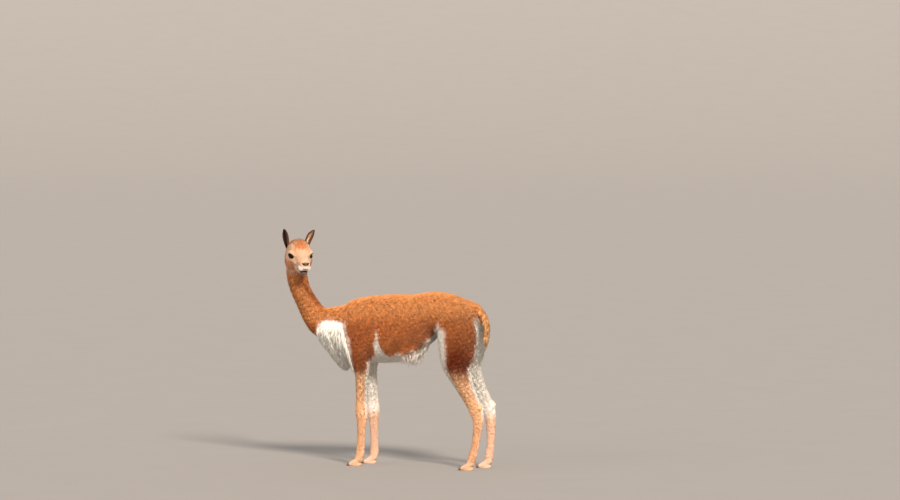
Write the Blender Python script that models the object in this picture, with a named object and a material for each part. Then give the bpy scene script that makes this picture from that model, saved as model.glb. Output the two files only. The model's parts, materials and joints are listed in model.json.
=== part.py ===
"""A standing vicuna, life-size, as a still model.

The animal faces -X, its left side faces -Y, and its soles rest on Z = 0. Lengths are metres.
Flesh is a smooth union of swept tubes and ellipsoids, sampled on a grid, turned into a closed mesh
and parted by thin plane cuts. The long hair of the chest, belly and tail is built lock by lock.
"""

import itertools
import math

import bmesh
import bpy
import numpy as np
from mathutils import Matrix, Vector

# Driving dimensions. Heights are above the soles. x = 0 is the middle of the barrel.
WITHERS_HEIGHT = 0.843
RUMP_HEIGHT = 0.864
EYE_HEIGHT = 1.045
EYE_MIDPOINT = (-0.531, -0.050)
HEAD_FACES = -50.0  # degrees from +X, seen from above: the head looks back past the left shoulder
HEAD_PITCH = 11.0  # degrees that the muzzle points below level
EYE_RADIUS = 0.0190
EAR_LENGTH = 0.106
GAP = 0.0003  # between nodes that touch
MOVE = (0.0666, 0.0103, 0)  # brings the origin under the middle of the whole animal

FORE_TRACK = 0.076  # from the middle plane to a fore foot
HIND_TRACK = 0.084

# The trunk, from the chest to the rump: x, z of the middle, half-width, half-height.
TRUNK = (
    (-0.330, 0.672, 0.086, 0.104),
    (-0.260, 0.668, 0.108, 0.150),
    (-0.170, WITHERS_HEIGHT - 0.165, 0.121, 0.165),
    (-0.080, 0.688, 0.130, 0.166),
    (0.020, 0.706, 0.134, 0.157),
    (0.090, 0.730, 0.130, 0.138),
    (0.150, 0.758, 0.124, 0.114),
    (0.200, 0.772, 0.120, 0.102),
    (0.270, RUMP_HEIGHT - 0.102, 0.117, 0.102),
    (0.345, 0.732, 0.108, 0.095),
)

# The neck, from inside the chest to the skull: x, z, half-width, half-depth.
NECK = (
    (-0.260, 0.690, 0.074, 0.118),
    (-0.340, 0.692, 0.070, 0.100),
    (-0.400, 0.700, 0.064, 0.085),
    (-0.444, 0.717, 0.058, 0.073),
    (-0.477, 0.748, 0.053, 0.063),
    (-0.504, 0.787, 0.050, 0.0560),
    (-0.529, 0.828, 0.048, 0.0515),
    (-0.553, 0.872, 0.047, 0.0505),
    (-0.569, 0.922, 0.049, 0.0510),
    (-0.578, 0.975, 0.051, 0.0505),
    (-0.580, 1.020, 0.051, 0.0500),
)

# The legs, from the joint inside the body down to the pastern: x, z, half-width, half-depth,
# and how far the row lies inside (less than 1) or outside the foot's track.
LEFT_FORE_LEG = (
    (-0.190, 0.690, 0.046, 0.080, 0.94),  # shoulder blade
    (-0.190, 0.620, 0.046, 0.072, 1.03),  # point of the shoulder
    (-0.182, 0.560, 0.041, 0.060, 1.07),
    (-0.175, 0.508, 0.035, 0.047, 1.07),  # elbow
    (-0.173, 0.460, 0.030, 0.0365, 1.05),
    (-0.174, 0.410, 0.0275, 0.0325, 1.03),  # forearm
    (-0.176, 0.332, 0.0240, 0.0300, 1.01),
    (-0.175, 0.266, 0.0255, 0.0335, 1.0),  # knee
    (-0.176, 0.215, 0.0200, 0.0250, 1.0),
    (-0.180, 0.125, 0.0170, 0.0200, 1.0),  # cannon
    (-0.186, 0.060, 0.0200, 0.0230, 1.0),  # fetlock
    (-0.192, 0.040, 0.0185, 0.0200, 1.0),  # pastern
)
RIGHT_FORE_LEG = (
    (-0.190, 0.690, 0.046, 0.080, 0.94),
    (-0.196, 0.620, 0.046, 0.070, 1.03),
    (-0.202, 0.560, 0.041, 0.056, 1.07),
    (-0.205, 0.508, 0.035, 0.044, 1.07),
    (-0.202, 0.460, 0.030, 0.0355, 1.05),
    (-0.197, 0.410, 0.0275, 0.0325, 1.03),
    (-0.188, 0.332, 0.0240, 0.0300, 1.01),
    (-0.183, 0.266, 0.0255, 0.0335, 1.0),
    (-0.181, 0.215, 0.0200, 0.0250, 1.0),
    (-0.178, 0.125, 0.0170, 0.0200, 1.0),
    (-0.178, 0.060, 0.0200, 0.0230, 1.0),
    (-0.183, 0.040, 0.0185, 0.0200, 1.0),
)
LEFT_HIND_LEG = (
    (0.338, 0.728, 0.058, 0.104, 0.79),  # hip
    (0.350, 0.670, 0.058, 0.110, 0.86),
    (0.352, 0.600, 0.053, 0.102, 0.92),
    (0.350, 0.535, 0.046, 0.087, 0.97),  # stifle
    (0.364, 0.480, 0.039, 0.066, 1.0),
    (0.395, 0.410, 0.031, 0.047, 1.0),  # gaskin
    (0.432, 0.340, 0.0255, 0.037, 1.0),
    (0.456, 0.292, 0.0235, 0.036, 1.0),  # hock
    (0.465, 0.250, 0.0215, 0.0295, 1.0),
    (0.461, 0.200, 0.0180, 0.0235, 1.0),
    (0.450, 0.122, 0.0170, 0.0200, 1.02),  # cannon
    (0.434, 0.064, 0.0200, 0.0220, 1.03),  # fetlock
    (0.425, 0.042, 0.0185, 0.0195, 1.03),  # pastern
)
RIGHT_HIND_LEG = (
    (0.338, 0.728, 0.058, 0.104, 0.79),
    (0.348, 0.670, 0.058, 0.108, 0.86),
    (0.336, 0.600, 0.053, 0.092, 0.92),
    (0.332, 0.535, 0.046, 0.080, 0.97),
    (0.347, 0.480, 0.039, 0.062, 1.0),
    (0.379, 0.410, 0.031, 0.048, 1.0),
    (0.419, 0.345, 0.0255, 0.038, 1.0),
    (0.446, 0.296, 0.0235, 0.036, 0.99),
    (0.457, 0.250, 0.0215, 0.0290, 0.98),
    (0.459, 0.200, 0.0180, 0.0235, 0.98),
    (0.458, 0.122, 0.0170, 0.0200, 0.97),
    (0.452, 0.064, 0.0200, 0.0220, 0.96),
    (0.446, 0.042, 0.0185, 0.0195, 0.96),
)
HOCK_POINT = 0.013  # radius of the heel bone's knob behind each hock

# One toe, from the pastern forward: distance ahead of it, z, half-width, half-height, splay.
TOE = (
    (-0.004, 0.034, 0.0120, 0.0160, 0.0070),
    (0.014, 0.022, 0.0118, 0.0140, 0.0105),
    (0.034, 0.013, 0.0105, 0.0115, 0.0118),
    (0.047, 0.0095, 0.0085, 0.0090, 0.0120),
    (0.056, 0.0060, 0.0055, 0.0060, 0.0116),
    (0.061, 0.0035, 0.0025, 0.0030, 0.0112),
)
NAIL_START = 0.045  # distance ahead of the pastern
PAD = (0.020, 0.0075, 0.0330, 0.0215, 0.0150)  # ahead, z, and the half-sizes along, across, up

# The tail: x, z, half-width, half-depth.
TAIL = (
    (0.385, 0.790, 0.016, 0.015),
    (0.420, 0.796, 0.020, 0.016),
    (0.450, 0.773, 0.021, 0.0160),
    (0.468, 0.732, 0.021, 0.0160),
    (0.472, 0.690, 0.019, 0.0145),
    (0.468, 0.658, 0.012, 0.0095),
)

# The dense inner part of the long hair, which the locks spring from: x, z, half-width, half-depth.
BIB_CORE = (
    (-0.378, 0.660, 0.058, 0.042),
    (-0.350, 0.600, 0.060, 0.038),
    (-0.322, 0.550, 0.052, 0.034),
    (-0.302, 0.515, 0.038, 0.026),
)
FRINGE_CORE = (
    (-0.090, 0.570, 0.070, 0.044),
    (-0.020, 0.572, 0.084, 0.044),
    (0.060, 0.582, 0.088, 0.044),
    (0.098, 0.598, 0.084, 0.042),
)

# Rows of locks. Those of the bib stand round an upright axis: its x, the row's z, how far the row
# reaches to each side in degrees, the count, then the locks' length, width and lift at the tip.
BIB_ROWS = (
    (-0.350, 0.705, 78, 5, 0.120, 0.040, 0.009),
    (-0.330, 0.655, 88, 8, 0.130, 0.040, 0.014),
    (-0.315, 0.605, 88, 9, 0.130, 0.037, 0.020),
    (-0.300, 0.560, 80, 8, 0.125, 0.034, 0.022),
    (-0.276, 0.525, 75, 7, 0.104, 0.030, 0.014),
)
BIB_REACH = 0.14  # from that axis to where the search for the surface starts
# The fringe's rows: z, distance from the middle plane, and count, length, width and lift as above.
FRINGE_ENDS = (-0.080, 0.138)  # x of the first and last locks of the belly
FRINGE_ROWS = (
    (0.620, 0.118, 8, 0.115, 0.032, 0.012),
    (0.565, 0.078, 7, 0.090, 0.032, 0.010),
)
TAIL_ROWS = ((0.768, 2), (0.722, 3), (0.678, 4))  # z of the roots, and how many locks
TAIL_LOCK = (0.088, 0.026, 0.008)  # length, width and lift at the tip
BIB_FALL = (0.13, 0, -1)  # the way that the long hair of the chest lies
FRINGE_FALL = (0.15, 0, -1)
LOCK_THICKNESS = 0.0075
ROOT_DEPTH = 0.012  # how deep a lock is rooted

ACROSS = np.array((0.0, 1.0, 0.0))


def unit(vector):
    """The vector, or each row of an array of them, scaled to length 1."""
    vector = np.asarray(vector, float)
    return vector / np.maximum(np.linalg.norm(vector, axis=-1, keepdims=True), 1e-12)


def eased_rows(rows, steps=5):
    """Rows resampled along a smooth curve through them: a cubic with central-difference slopes."""
    rows = np.asarray(rows, float)
    slopes = np.gradient(rows, axis=0)
    t = np.arange(steps)[:, None] / steps
    spans = [
        (2 * t**3 - 3 * t**2 + 1) * rows[i]
        + (t**3 - 2 * t**2 + t) * slopes[i]
        + (3 * t**2 - 2 * t**3) * rows[i + 1]
        + (t**3 - t**2) * slopes[i + 1]
        for i in range(len(rows) - 1)
    ]
    return np.vstack([*spans, rows[-1:]])


def smooth_min(a, b, blend):
    """The lesser of two distances, rounded off where they differ by less than blend."""
    near = np.maximum(blend - np.abs(a - b), 0) / blend
    return np.minimum(a, b) - near * near * blend / 4


class Swept:
    """A tube along x, y, z rows, with elliptic sections: half-width across, half-depth otherwise."""

    def __init__(self, rows, blend=0.02, power=2.0, across=ACROSS):
        self.rows = eased_rows(rows)
        self.blend, self.power, self.across = blend, power, np.asarray(across, float)
        reach = self.rows[:, 3:5].max(axis=1)[:, None]
        self.low = (self.rows[:, :3] - reach).min(axis=0)
        self.high = (self.rows[:, :3] + reach).max(axis=0)

    def distance(self, p):
        """Distance from the nearest section's ellipse, negative inside."""
        nearest = np.full(len(p), 1e9)
        place = np.zeros(len(p))
        for i, (a, b) in enumerate(itertools.pairwise(self.rows[:, :3])):
            along = b - a
            t = np.clip((p - a) @ along / (along @ along), 0, 1)
            away = p - a - t[:, None] * along
            squared = np.einsum("ij,ij->i", away, away)
            closer = squared < nearest
            nearest[closer] = squared[closer]
            place[closer] = (i + t)[closer]
        stations = np.arange(len(self.rows))
        at = np.stack([np.interp(place, stations, self.rows[:, k]) for k in range(5)], axis=1)
        away = p - at[:, :3]
        wide = np.abs(away @ self.across)
        deep = np.sqrt(np.maximum(np.einsum("ij,ij->i", away, away) - wide**2, 0))
        ratio = ((wide / at[:, 3]) ** self.power + (deep / at[:, 4]) ** self.power) ** (1 / self.power)
        slope = np.hypot(wide / at[:, 3] ** 2, deep / at[:, 4] ** 2)
        return ratio * (ratio - 1) / np.maximum(slope, 1e-6)


class Ball:
    """An ellipsoid with given half-sizes along the columns of turn."""

    def __init__(self, centre, radii, blend=0.02, turn=None):
        self.centre, self.radii, self.blend = np.asarray(centre, float), np.asarray(radii, float), blend
        self.turn = np.eye(3) if turn is None else np.asarray(turn, float)
        self.low = self.centre - self.radii.max()
        self.high = self.centre + self.radii.max()

    def distance(self, p):
        """Distance from the surface, to first order."""
        q = (p - self.centre) @ self.turn
        ratio = np.linalg.norm(q / self.radii, axis=1)
        slope = np.linalg.norm(q / self.radii**2, axis=1)
        return ratio * (ratio - 1) / np.maximum(slope, 1e-6)


def joined_distance(shapes, p):
    """The smooth union of the shapes at points p. Each shape counts only near its own box."""
    total = np.full(len(p), 1.0)
    for shape in shapes:
        margin = shape.blend + 0.02
        near = ((p > shape.low - margin) & (p < shape.high + margin)).all(axis=1)
        if near.any():
            total[near] = smooth_min(total[near], shape.distance(p[near]), shape.blend)
    return total


def slope_of(distance, p, step=0.0005):
    """The unit direction in which a distance grows fastest."""
    return unit(np.stack([distance(p + step * e) - distance(p - step * e) for e in np.eye(3)], axis=1))


# The head has its own frame: x towards the nose, y to the animal's left, z up, between the eyes.
def head_frame():
    """Its origin and its three directions as columns."""
    yaw, pitch = math.radians(HEAD_FACES), math.radians(HEAD_PITCH)
    ahead = np.array((math.cos(yaw) * math.cos(pitch), math.sin(yaw) * math.cos(pitch), -math.sin(pitch)))
    left = unit(np.cross((0, 0, 1), ahead))
    return np.array((*EYE_MIDPOINT, EYE_HEIGHT)), np.stack([ahead, left, np.cross(ahead, left)], axis=1)


HEAD_ORIGIN, HEAD_TURN = head_frame()
EYE_PLACE = np.array((0.013, 0.0385, 0.002))  # the left eye's middle in the head's frame
EYE_LOOKS = unit((0.64, 0.76, 0.06))  # the way the left eye looks
LID_THICKNESS = 0.0042
EYE_OPENING = (0.0178, 0.0100)  # half-width and half-height
NOSTRIL = ((0.1235, 0.0130, -0.0155), (0.0070, 0.0030, 0.0082))  # middle, and depth, width, length


def head_shapes():
    """The head's lumps in its own frame, without lids, mouth or nostrils."""
    muzzle = (
        (0.000, 0, -0.004, 0.050, 0.050),
        (0.034, 0, -0.012, 0.0380, 0.041),
        (0.066, 0, -0.0195, 0.0305, 0.0340),
        (0.094, 0, -0.0255, 0.0285, 0.0300),
        (0.106, 0, -0.0270, 0.0250, 0.0265),
    )
    jaw = (
        (-0.050, 0, -0.044, 0.052, 0.040),
        (0.000, 0, -0.050, 0.044, 0.034),
        (0.048, 0, -0.056, 0.0290, 0.0235),
        (0.084, 0, -0.0625, 0.0205, 0.0145),
        (0.096, 0, -0.0635, 0.0180, 0.0115),
    )
    lumps = [
        Ball((-0.034, 0, 0.014), (0.064, 0.067, 0.064), 0.02),  # cranium and its woolly crown
        Ball((0.006, 0, 0.020), (0.040, 0.052, 0.040), 0.02),  # forehead
        Swept(muzzle, 0.02, 2.4),
        Swept(jaw, 0.016),
        Ball((0.106, 0, -0.0175), (0.0135, 0.0205, 0.0125), 0.008),  # nose
        Ball((0.099, 0, -0.0665), (0.0140, 0.0155, 0.0090), 0.006),  # chin
    ]
    for side in (1, -1):
        lumps += [
            Ball((-0.026, side * 0.043, -0.026), (0.044, 0.028, 0.050), 0.020),  # cheek
            Ball((0.006, side * 0.0415, 0.0225), (0.031, 0.018, 0.0115), 0.011),  # brow
            Ball((0.020, side * 0.032, -0.0240), (0.038, 0.016, 0.014), 0.020),  # cheek bone
            Ball((0.102, side * 0.0150, -0.0400), (0.0195, 0.0165, 0.0160), 0.007),  # upper lip
            Ball((0.108, side * 0.0130, -0.0130), (0.0150, 0.0110, 0.0100), 0.008),  # wing of the nose
            Ball(EYE_PLACE * (1, side, 1), [EYE_RADIUS + LID_THICKNESS] * 3, 0.007),  # lids
        ]
    return lumps


HEAD_LUMPS = head_shapes()


def lid_aperture(q, side):
    """Below 1 inside an eye's almond opening, for points q in the head's frame."""
    looks = EYE_LOOKS * (1, side, 1)
    forward = unit(np.cross(np.cross(looks, (0.97, 0, 0.01)), looks))
    away = q - EYE_PLACE * (1, side, 1)
    wide = away @ forward / EYE_OPENING[0]
    high = away @ np.cross(looks, forward) / EYE_OPENING[1]
    return np.where(away @ looks > 0, (np.abs(wide) ** 1.7 + np.abs(high) ** 1.7) ** (1 / 1.7), 4.0)


def nostril_ratio(q, side):
    """Below 1 inside the slit of a nostril, which leans outward at its top."""
    middle, (deep, wide, long) = NOSTRIL
    inward = unit((0.85, side * 0.42, 0.25))
    upward = unit(np.cross(np.cross(inward, (-0.2, side * 0.75, 0.65)), inward))
    away = q - np.multiply(middle, (1, side, 1))
    parts = away @ inward / deep, away @ np.cross(inward, upward) / wide, away @ upward / long
    return np.sqrt(sum(part**2 for part in parts))


def head_distance(p):
    """The whole head with lids, mouth line and nostrils, for points p in the model's frame."""
    q = (p - HEAD_ORIGIN) @ HEAD_TURN
    d = joined_distance(HEAD_LUMPS, q)
    for side in (1, -1):
        depth = np.linalg.norm(q - EYE_PLACE * (1, side, 1), axis=1) - EYE_RADIUS
        d = np.maximum(d, -np.maximum((lid_aperture(q, side) - 1) * EYE_OPENING[1], -0.012 - depth))
        d = np.maximum(d, -(nostril_ratio(q, side) - 1) * NOSTRIL[1][1])
    x, z = q[:, 0], q[:, 2]
    mouth_height = -0.0565 + 0.006 * np.clip((0.104 - x) / 0.045, 0, 1) ** 2
    along_mouth = np.clip((x - 0.054) / 0.014, 0, 1)
    d = d + 0.0045 * along_mouth * np.exp(-(((z - mouth_height) / 0.0030) ** 2)) * (x < 0.13)
    cleft = np.exp(-((q[:, 1] / 0.0020) ** 2)) * np.clip((x - 0.100) / 0.008, 0, 1)
    return d + 0.0030 * cleft * np.clip((-0.022 - z) / 0.006, 0, 1) * (z > mouth_height)


def leg_shapes(rows, track, sign):
    """A leg with its foot. sign is -1 for the animal's left. The rows' last entry scales the track."""
    path = [(x, sign * track * out, z, wide, deep) for x, z, wide, deep, out in rows]
    shapes = [Swept(path, 0.022)]
    heel_x, heel_y = path[-1][0], path[-1][1]
    if len(rows) == len(LEFT_HIND_LEG):
        hock_x, hock_y, hock_z, _, hock_deep = path[7]
        shapes.append(Ball((hock_x + hock_deep * 0.62, hock_y, hock_z + 0.022), [HOCK_POINT] * 3, 0.02))
    for toe in (1, -1):
        ray = [(heel_x - ahead, heel_y + toe * out, z, wide, high) for ahead, z, wide, high, out in TOE]
        shapes.append(Swept(ray, 0.006))
    ahead, z, long, wide, high = PAD
    shapes.append(Ball((heel_x - ahead, heel_y, z), (long, wide, high), 0.008))
    return shapes


LEGS = {
    "fore_left": leg_shapes(LEFT_FORE_LEG, FORE_TRACK, -1),
    "fore_right": leg_shapes(RIGHT_FORE_LEG, FORE_TRACK, 1),
    "hind_left": leg_shapes(LEFT_HIND_LEG, HIND_TRACK, -1),
    "hind_right": leg_shapes(RIGHT_HIND_LEG, HIND_TRACK, 1),
}
TRUNK_SHAPES = [
    Swept([(x, 0, z, wide, high) for x, z, wide, high in TRUNK], 0.03, 2.3),
    Swept([(x, 0, z, wide, deep) for x, z, wide, deep in NECK], 0.03),
    Swept([(x, 0, z, wide, deep) for x, z, wide, deep in BIB_CORE], 0.03),
    Swept([(x, 0, z, wide, deep) for x, z, wide, deep in FRINGE_CORE], 0.02),
]
FLESH = TRUNK_SHAPES + [shape for leg in LEGS.values() for shape in leg]


def body_distance(p):
    """The body without head, hair and tail."""
    return joined_distance(FLESH, p)


def head_and_neck_distance(p):
    """The head flowing into the top of the neck."""
    return smooth_min(joined_distance(TRUNK_SHAPES, p), head_distance(p), 0.012)


CORNERS = np.array(list(itertools.product((0, 1), repeat=3)))


def split_patterns():
    """For each way the 8 corners of a cell can lie inside, whether either side falls in two or more."""
    split = np.zeros(256, bool)
    for pattern in range(256):
        inside = [bool(pattern >> k & 1) for k in range(8)]
        for side in (True, False):
            members = [k for k in range(8) if inside[k] is side]
            reached = set(members[:1])
            for _ in members:
                reached |= {
                    k for k in members if any(np.abs(CORNERS[k] - CORNERS[m]).sum() == 1 for m in reached)
                }
            split[pattern] |= len(reached) < len(members)
    return split


SPLIT = split_patterns()


def corner_views(grid):
    """The grid's values at each of the 8 corners of all its cells."""
    a, b, c = (n - 1 for n in grid.shape)
    return [grid[i : i + a, j : j + b, k : k + c] for i, j, k in CORNERS]


def closed_up(d, small):
    """The distances with cells filled where the surface would touch itself."""
    while True:
        code = sum((view < 0).astype(int) << k for k, view in enumerate(corner_views(d)))
        torn = np.argwhere(SPLIT[code])
        if not len(torn):
            return d
        for corner in CORNERS:
            place = tuple((torn + corner).T)
            d[place] = np.minimum(d[place], -small)


def netted(distance, low, high, step):
    """A closed mesh of the surface where distance is 0, from one point in each cell that it crosses.

    Each point is the mean of the crossings on its cell's edges, and each crossed grid edge gives a
    four-sided face between the cells around it. The outermost layer counts as outside.
    """
    axes = [np.arange(a, b + step, step) for a, b in zip(low, high)]
    grid = np.stack(np.meshgrid(*axes, indexing="ij"), axis=-1)
    d = distance(grid.reshape(-1, 3)).reshape(grid.shape[:3])
    shell = np.ones(d.shape, bool)
    shell[1:-1, 1:-1, 1:-1] = False
    d[shell] = np.maximum(d[shell], step * 0.5)
    d[np.abs(d) < step * 0.02] = step * 0.02
    d = closed_up(d, step * 0.1)
    inside = d < 0
    count = sum(view.astype(int) for view in corner_views(inside))
    cells = np.argwhere((count > 0) & (count < 8))
    number = np.full(count.shape, -1)
    number[tuple(cells.T)] = np.arange(len(cells))
    at_corner = np.stack([d[tuple((cells + c).T)] for c in CORNERS], axis=1)
    total, crossings = np.zeros((len(cells), 3)), np.zeros(len(cells))
    for i, j in itertools.combinations(range(8), 2):
        if np.abs(CORNERS[i] - CORNERS[j]).sum() != 1:
            continue
        a, b = at_corner[:, i], at_corner[:, j]
        crossed = (a < 0) != (b < 0)
        t = np.where(crossed, a / np.where(crossed, a - b, 1), 0)
        total += crossed[:, None] * (CORNERS[i] + t[:, None] * (CORNERS[j] - CORNERS[i]))
        crossings += crossed
    points = np.array(low) + (cells + total / crossings[:, None]) * step
    faces = []
    for axis in range(3):
        others = [k for k in range(3) if k != axis]
        here, there = [slice(None)] * 3, [slice(None)] * 3
        here[axis], there[axis] = slice(0, -1), slice(1, None)
        crossed = np.argwhere(inside[tuple(here)] != inside[tuple(there)])
        crossed = crossed[(crossed[:, others] > 0).all(axis=1)]
        outward = inside[tuple(crossed.T)]
        ring = []
        for back in ((0, 0), (1, 0), (1, 1), (0, 1)):
            cell = crossed.copy()
            cell[:, others[0]] -= back[0]
            cell[:, others[1]] -= back[1]
            ring.append(number[tuple(cell.T)])
        quads = np.stack(ring, axis=1)
        turned = outward if axis != 1 else ~outward
        quads[~turned] = quads[~turned][:, ::-1]
        faces.append(quads)
    return points, np.vstack(faces)


def made_object(name, points, faces):
    """A mesh object from arrays, linked to the scene."""
    mesh = bpy.data.meshes.new(name)
    mesh.from_pydata([tuple(p) for p in points], [], [tuple(f) for f in faces])
    mesh.validate()
    obj = bpy.data.objects.new(name, mesh)
    bpy.context.scene.collection.objects.link(obj)
    return obj


def apply_modifiers(obj):
    """Replaces the object's mesh by its evaluated one."""
    graph = bpy.context.evaluated_depsgraph_get()
    mesh = bpy.data.meshes.new_from_object(obj.evaluated_get(graph))
    old = obj.data
    obj.modifiers.clear()
    obj.data = mesh
    mesh.name = obj.name
    bpy.data.meshes.remove(old)


def keep_largest(obj):
    """Deletes all but the closed surface with the largest box."""
    whole = bmesh.new()
    whole.from_mesh(obj.data)
    whole.verts.ensure_lookup_table()
    seen, groups = set(), []
    for start in whole.verts:
        if start in seen:
            continue
        group, waiting = [], [start]
        seen.add(start)
        while waiting:
            vert = waiting.pop()
            group.append(vert)
            for edge in vert.link_edges:
                other = edge.other_vert(vert)
                if other not in seen:
                    seen.add(other)
                    waiting.append(other)
        groups.append(group)

    def diagonal(group):
        places = np.array([v.co[:] for v in group])
        return np.linalg.norm(places.max(axis=0) - places.min(axis=0))

    groups.sort(key=diagonal, reverse=True)
    loose = [v for group in groups[1:] for v in group]
    bmesh.ops.delete(whole, geom=loose, context="VERTS")
    whole.to_mesh(obj.data)
    whole.free()


def thinned(obj, triangles):
    """Triangulates the mesh and collapses edges until about that many triangles are left."""
    obj.modifiers.new("Triangulate", "TRIANGULATE")
    apply_modifiers(obj)
    share = triangles / max(len(obj.data.polygons), 1)
    if share < 1:
        collapse = obj.modifiers.new("Decimate", "DECIMATE")
        collapse.ratio = share
        collapse.use_collapse_triangulate = True
        apply_modifiers(obj)
    return obj


def cell(planes, reach=1.6):
    """A hidden convex cutter: all that lies on the side of every plane that its normal leaves."""
    block = bmesh.new()
    bmesh.ops.create_cube(block, size=2 * reach)
    for point, normal in planes:
        parts = block.verts[:] + block.edges[:] + block.faces[:]
        cut = bmesh.ops.bisect_plane(block, geom=parts, plane_co=point, plane_no=normal, clear_outer=True)
        rim = [e for e in cut["geom_cut"] if isinstance(e, bmesh.types.BMEdge)]
        bmesh.ops.contextual_create(block, geom=rim)
    bmesh.ops.recalc_face_normals(block, faces=block.faces[:])
    mesh = bpy.data.meshes.new("cutter")
    block.to_mesh(mesh)
    block.free()
    obj = bpy.data.objects.new("cutter", mesh)
    bpy.context.scene.collection.objects.link(obj)
    return obj


def moved_planes(planes, by):
    """The planes, each pushed along its normal."""
    return [(Vector(point) + Vector(normal).normalized() * by, normal) for point, normal in planes]


def boolean(obj, other, operation, keep_other=False):
    """Cuts, keeps or joins with another object, and removes that object."""
    modifier = obj.modifiers.new("Boolean", "BOOLEAN")
    modifier.operation, modifier.object, modifier.solver = operation, other, "MANIFOLD"
    apply_modifiers(obj)
    if not keep_other:
        bpy.data.objects.remove(other)


def kept_within(obj, planes):
    """Keeps what lies in the cell, drawn in by half the gap."""
    boolean(obj, cell(moved_planes(planes, -GAP / 2)), "INTERSECT")
    keep_largest(obj)


def cut_away(obj, planes):
    """Takes away what lies in the cell, grown by half the gap."""
    boolean(obj, cell(moved_planes(planes, GAP / 2)), "DIFFERENCE")
    keep_largest(obj)


def pushed_out(obj, by):
    """A hidden copy of the object with each point moved along its normal."""
    copy = obj.copy()
    copy.data = obj.data.copy()
    bpy.context.scene.collection.objects.link(copy)
    mesh = copy.data
    places, normals = np.empty(len(mesh.vertices) * 3), np.empty(len(mesh.vertices) * 3)
    mesh.vertices.foreach_get("co", places)
    mesh.vertices.foreach_get("normal", normals)
    mesh.vertices.foreach_set("co", places + by * normals)
    mesh.update()
    return copy


def settled(distance, points):
    """Points moved to the nearest place on the surface."""
    for _ in range(6):
        points = points - distance(points)[:, None] * slope_of(distance, points)
    return points


def combed(distance, roots, fall, lengths, lifts, spans=4):
    """The path of each lock: from under its root along the surface, then straight down where it ends.

    Each step goes the way of fall, less its part into the surface while the lock is near it. A point
    nearer to the surface than its share of the lift is pushed out to that height.
    """
    normals = slope_of(distance, roots)
    paths, facing, here = [roots - normals * ROOT_DEPTH], [normals], roots
    for k in range(1, spans + 1):
        height = lifts * k / spans
        cling = np.clip(1 - (distance(here) - height) / 0.02, 0, 1)[:, None]
        way = fall - cling * np.einsum("ij,ij->i", fall, normals)[:, None] * normals
        here = here + unit(way) * (lengths / spans)[:, None]
        normals = slope_of(distance, here)
        here = here + normals * np.maximum(height - distance(here), 0)[:, None]
        paths.append(here)
        facing.append(normals)
    return np.stack(paths, axis=1), np.stack(facing, axis=1)


def lock_objects(paths, facing, widths, group):
    """A closed mesh object for each path: a diamond section, widest after the root, and one point."""
    last = paths.shape[1] - 1
    along = unit(np.gradient(paths, axis=1))
    aside = unit(np.cross(along, facing))
    out = np.cross(aside, along)
    share = np.interp(np.arange(last) / last, (0, 0.3, 0.7, 1), (0.62, 1.0, 0.72, 0.3))
    ring = np.arange(4)
    faces = [tuple(ring[::-1])]
    for k, j in itertools.product(range(last - 1), ring):
        a, b = 4 * k + j, 4 * k + (j + 1) % 4
        faces += [(a, b, b + 4), (a, b + 4, a + 4)]
    faces += [(4 * (last - 1) + j, 4 * (last - 1) + (j + 1) % 4, 4 * last) for j in ring]
    for path, side, front, width in zip(paths, aside, out, widths):
        across = side[:last] * (share * width / 2)[:, None]
        through = front[:last] * (share * LOCK_THICKNESS / 2)[:, None]
        middle = path[:last]
        rings = np.stack([middle + across, middle + through, middle - across, middle - through], axis=1)
        lock = made_object("lock", np.vstack([rings.reshape(-1, 3), path[last:]]), faces)
        turn_outward(lock)
        bpy.context.scene.collection.objects.unlink(lock)
        group.objects.link(lock)


def turn_outward(obj):
    """Turns all faces of a closed mesh to the outside."""
    shape = bmesh.new()
    shape.from_mesh(obj.data)
    bmesh.ops.recalc_face_normals(shape, faces=shape.faces[:])
    shape.to_mesh(obj.data)
    shape.free()


def fuse_locks(obj, group):
    """Joins all locks of the group to the object in one step and removes them."""
    modifier = obj.modifiers.new("Locks", "BOOLEAN")
    modifier.operation, modifier.operand_type, modifier.solver = "UNION", "COLLECTION", "MANIFOLD"
    modifier.collection = group
    apply_modifiers(obj)
    for lock in list(group.objects):
        bpy.data.objects.remove(lock)
    bpy.data.collections.remove(group)
    keep_largest(obj)


def add_bib(chest, rng):
    """The white locks of the chest, row under row."""
    group = bpy.data.collections.new("bib")
    bpy.context.scene.collection.children.link(group)
    for x, z, spread, count, length, width, lift in BIB_ROWS:
        angle = np.radians(np.linspace(-spread, spread, count) + rng.uniform(-6, 6, count))
        height = z + rng.uniform(-0.010, 0.010, count)
        start = np.stack([x - BIB_REACH * np.cos(angle), BIB_REACH * np.sin(angle), height], axis=1)
        roots = settled(body_distance, start)
        fall = np.tile(BIB_FALL, (count, 1)) + rng.normal(0, (0.05, 0.06, 0), (count, 3))
        lengths = length * rng.uniform(0.85, 1.15, count)
        lifts = lift * rng.uniform(0.6, 1.3, count)
        paths, facing = combed(body_distance, roots, unit(fall), lengths, lifts)
        lock_objects(paths, facing, width * rng.uniform(0.75, 1.25, count), group)
    fuse_locks(chest, group)


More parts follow.
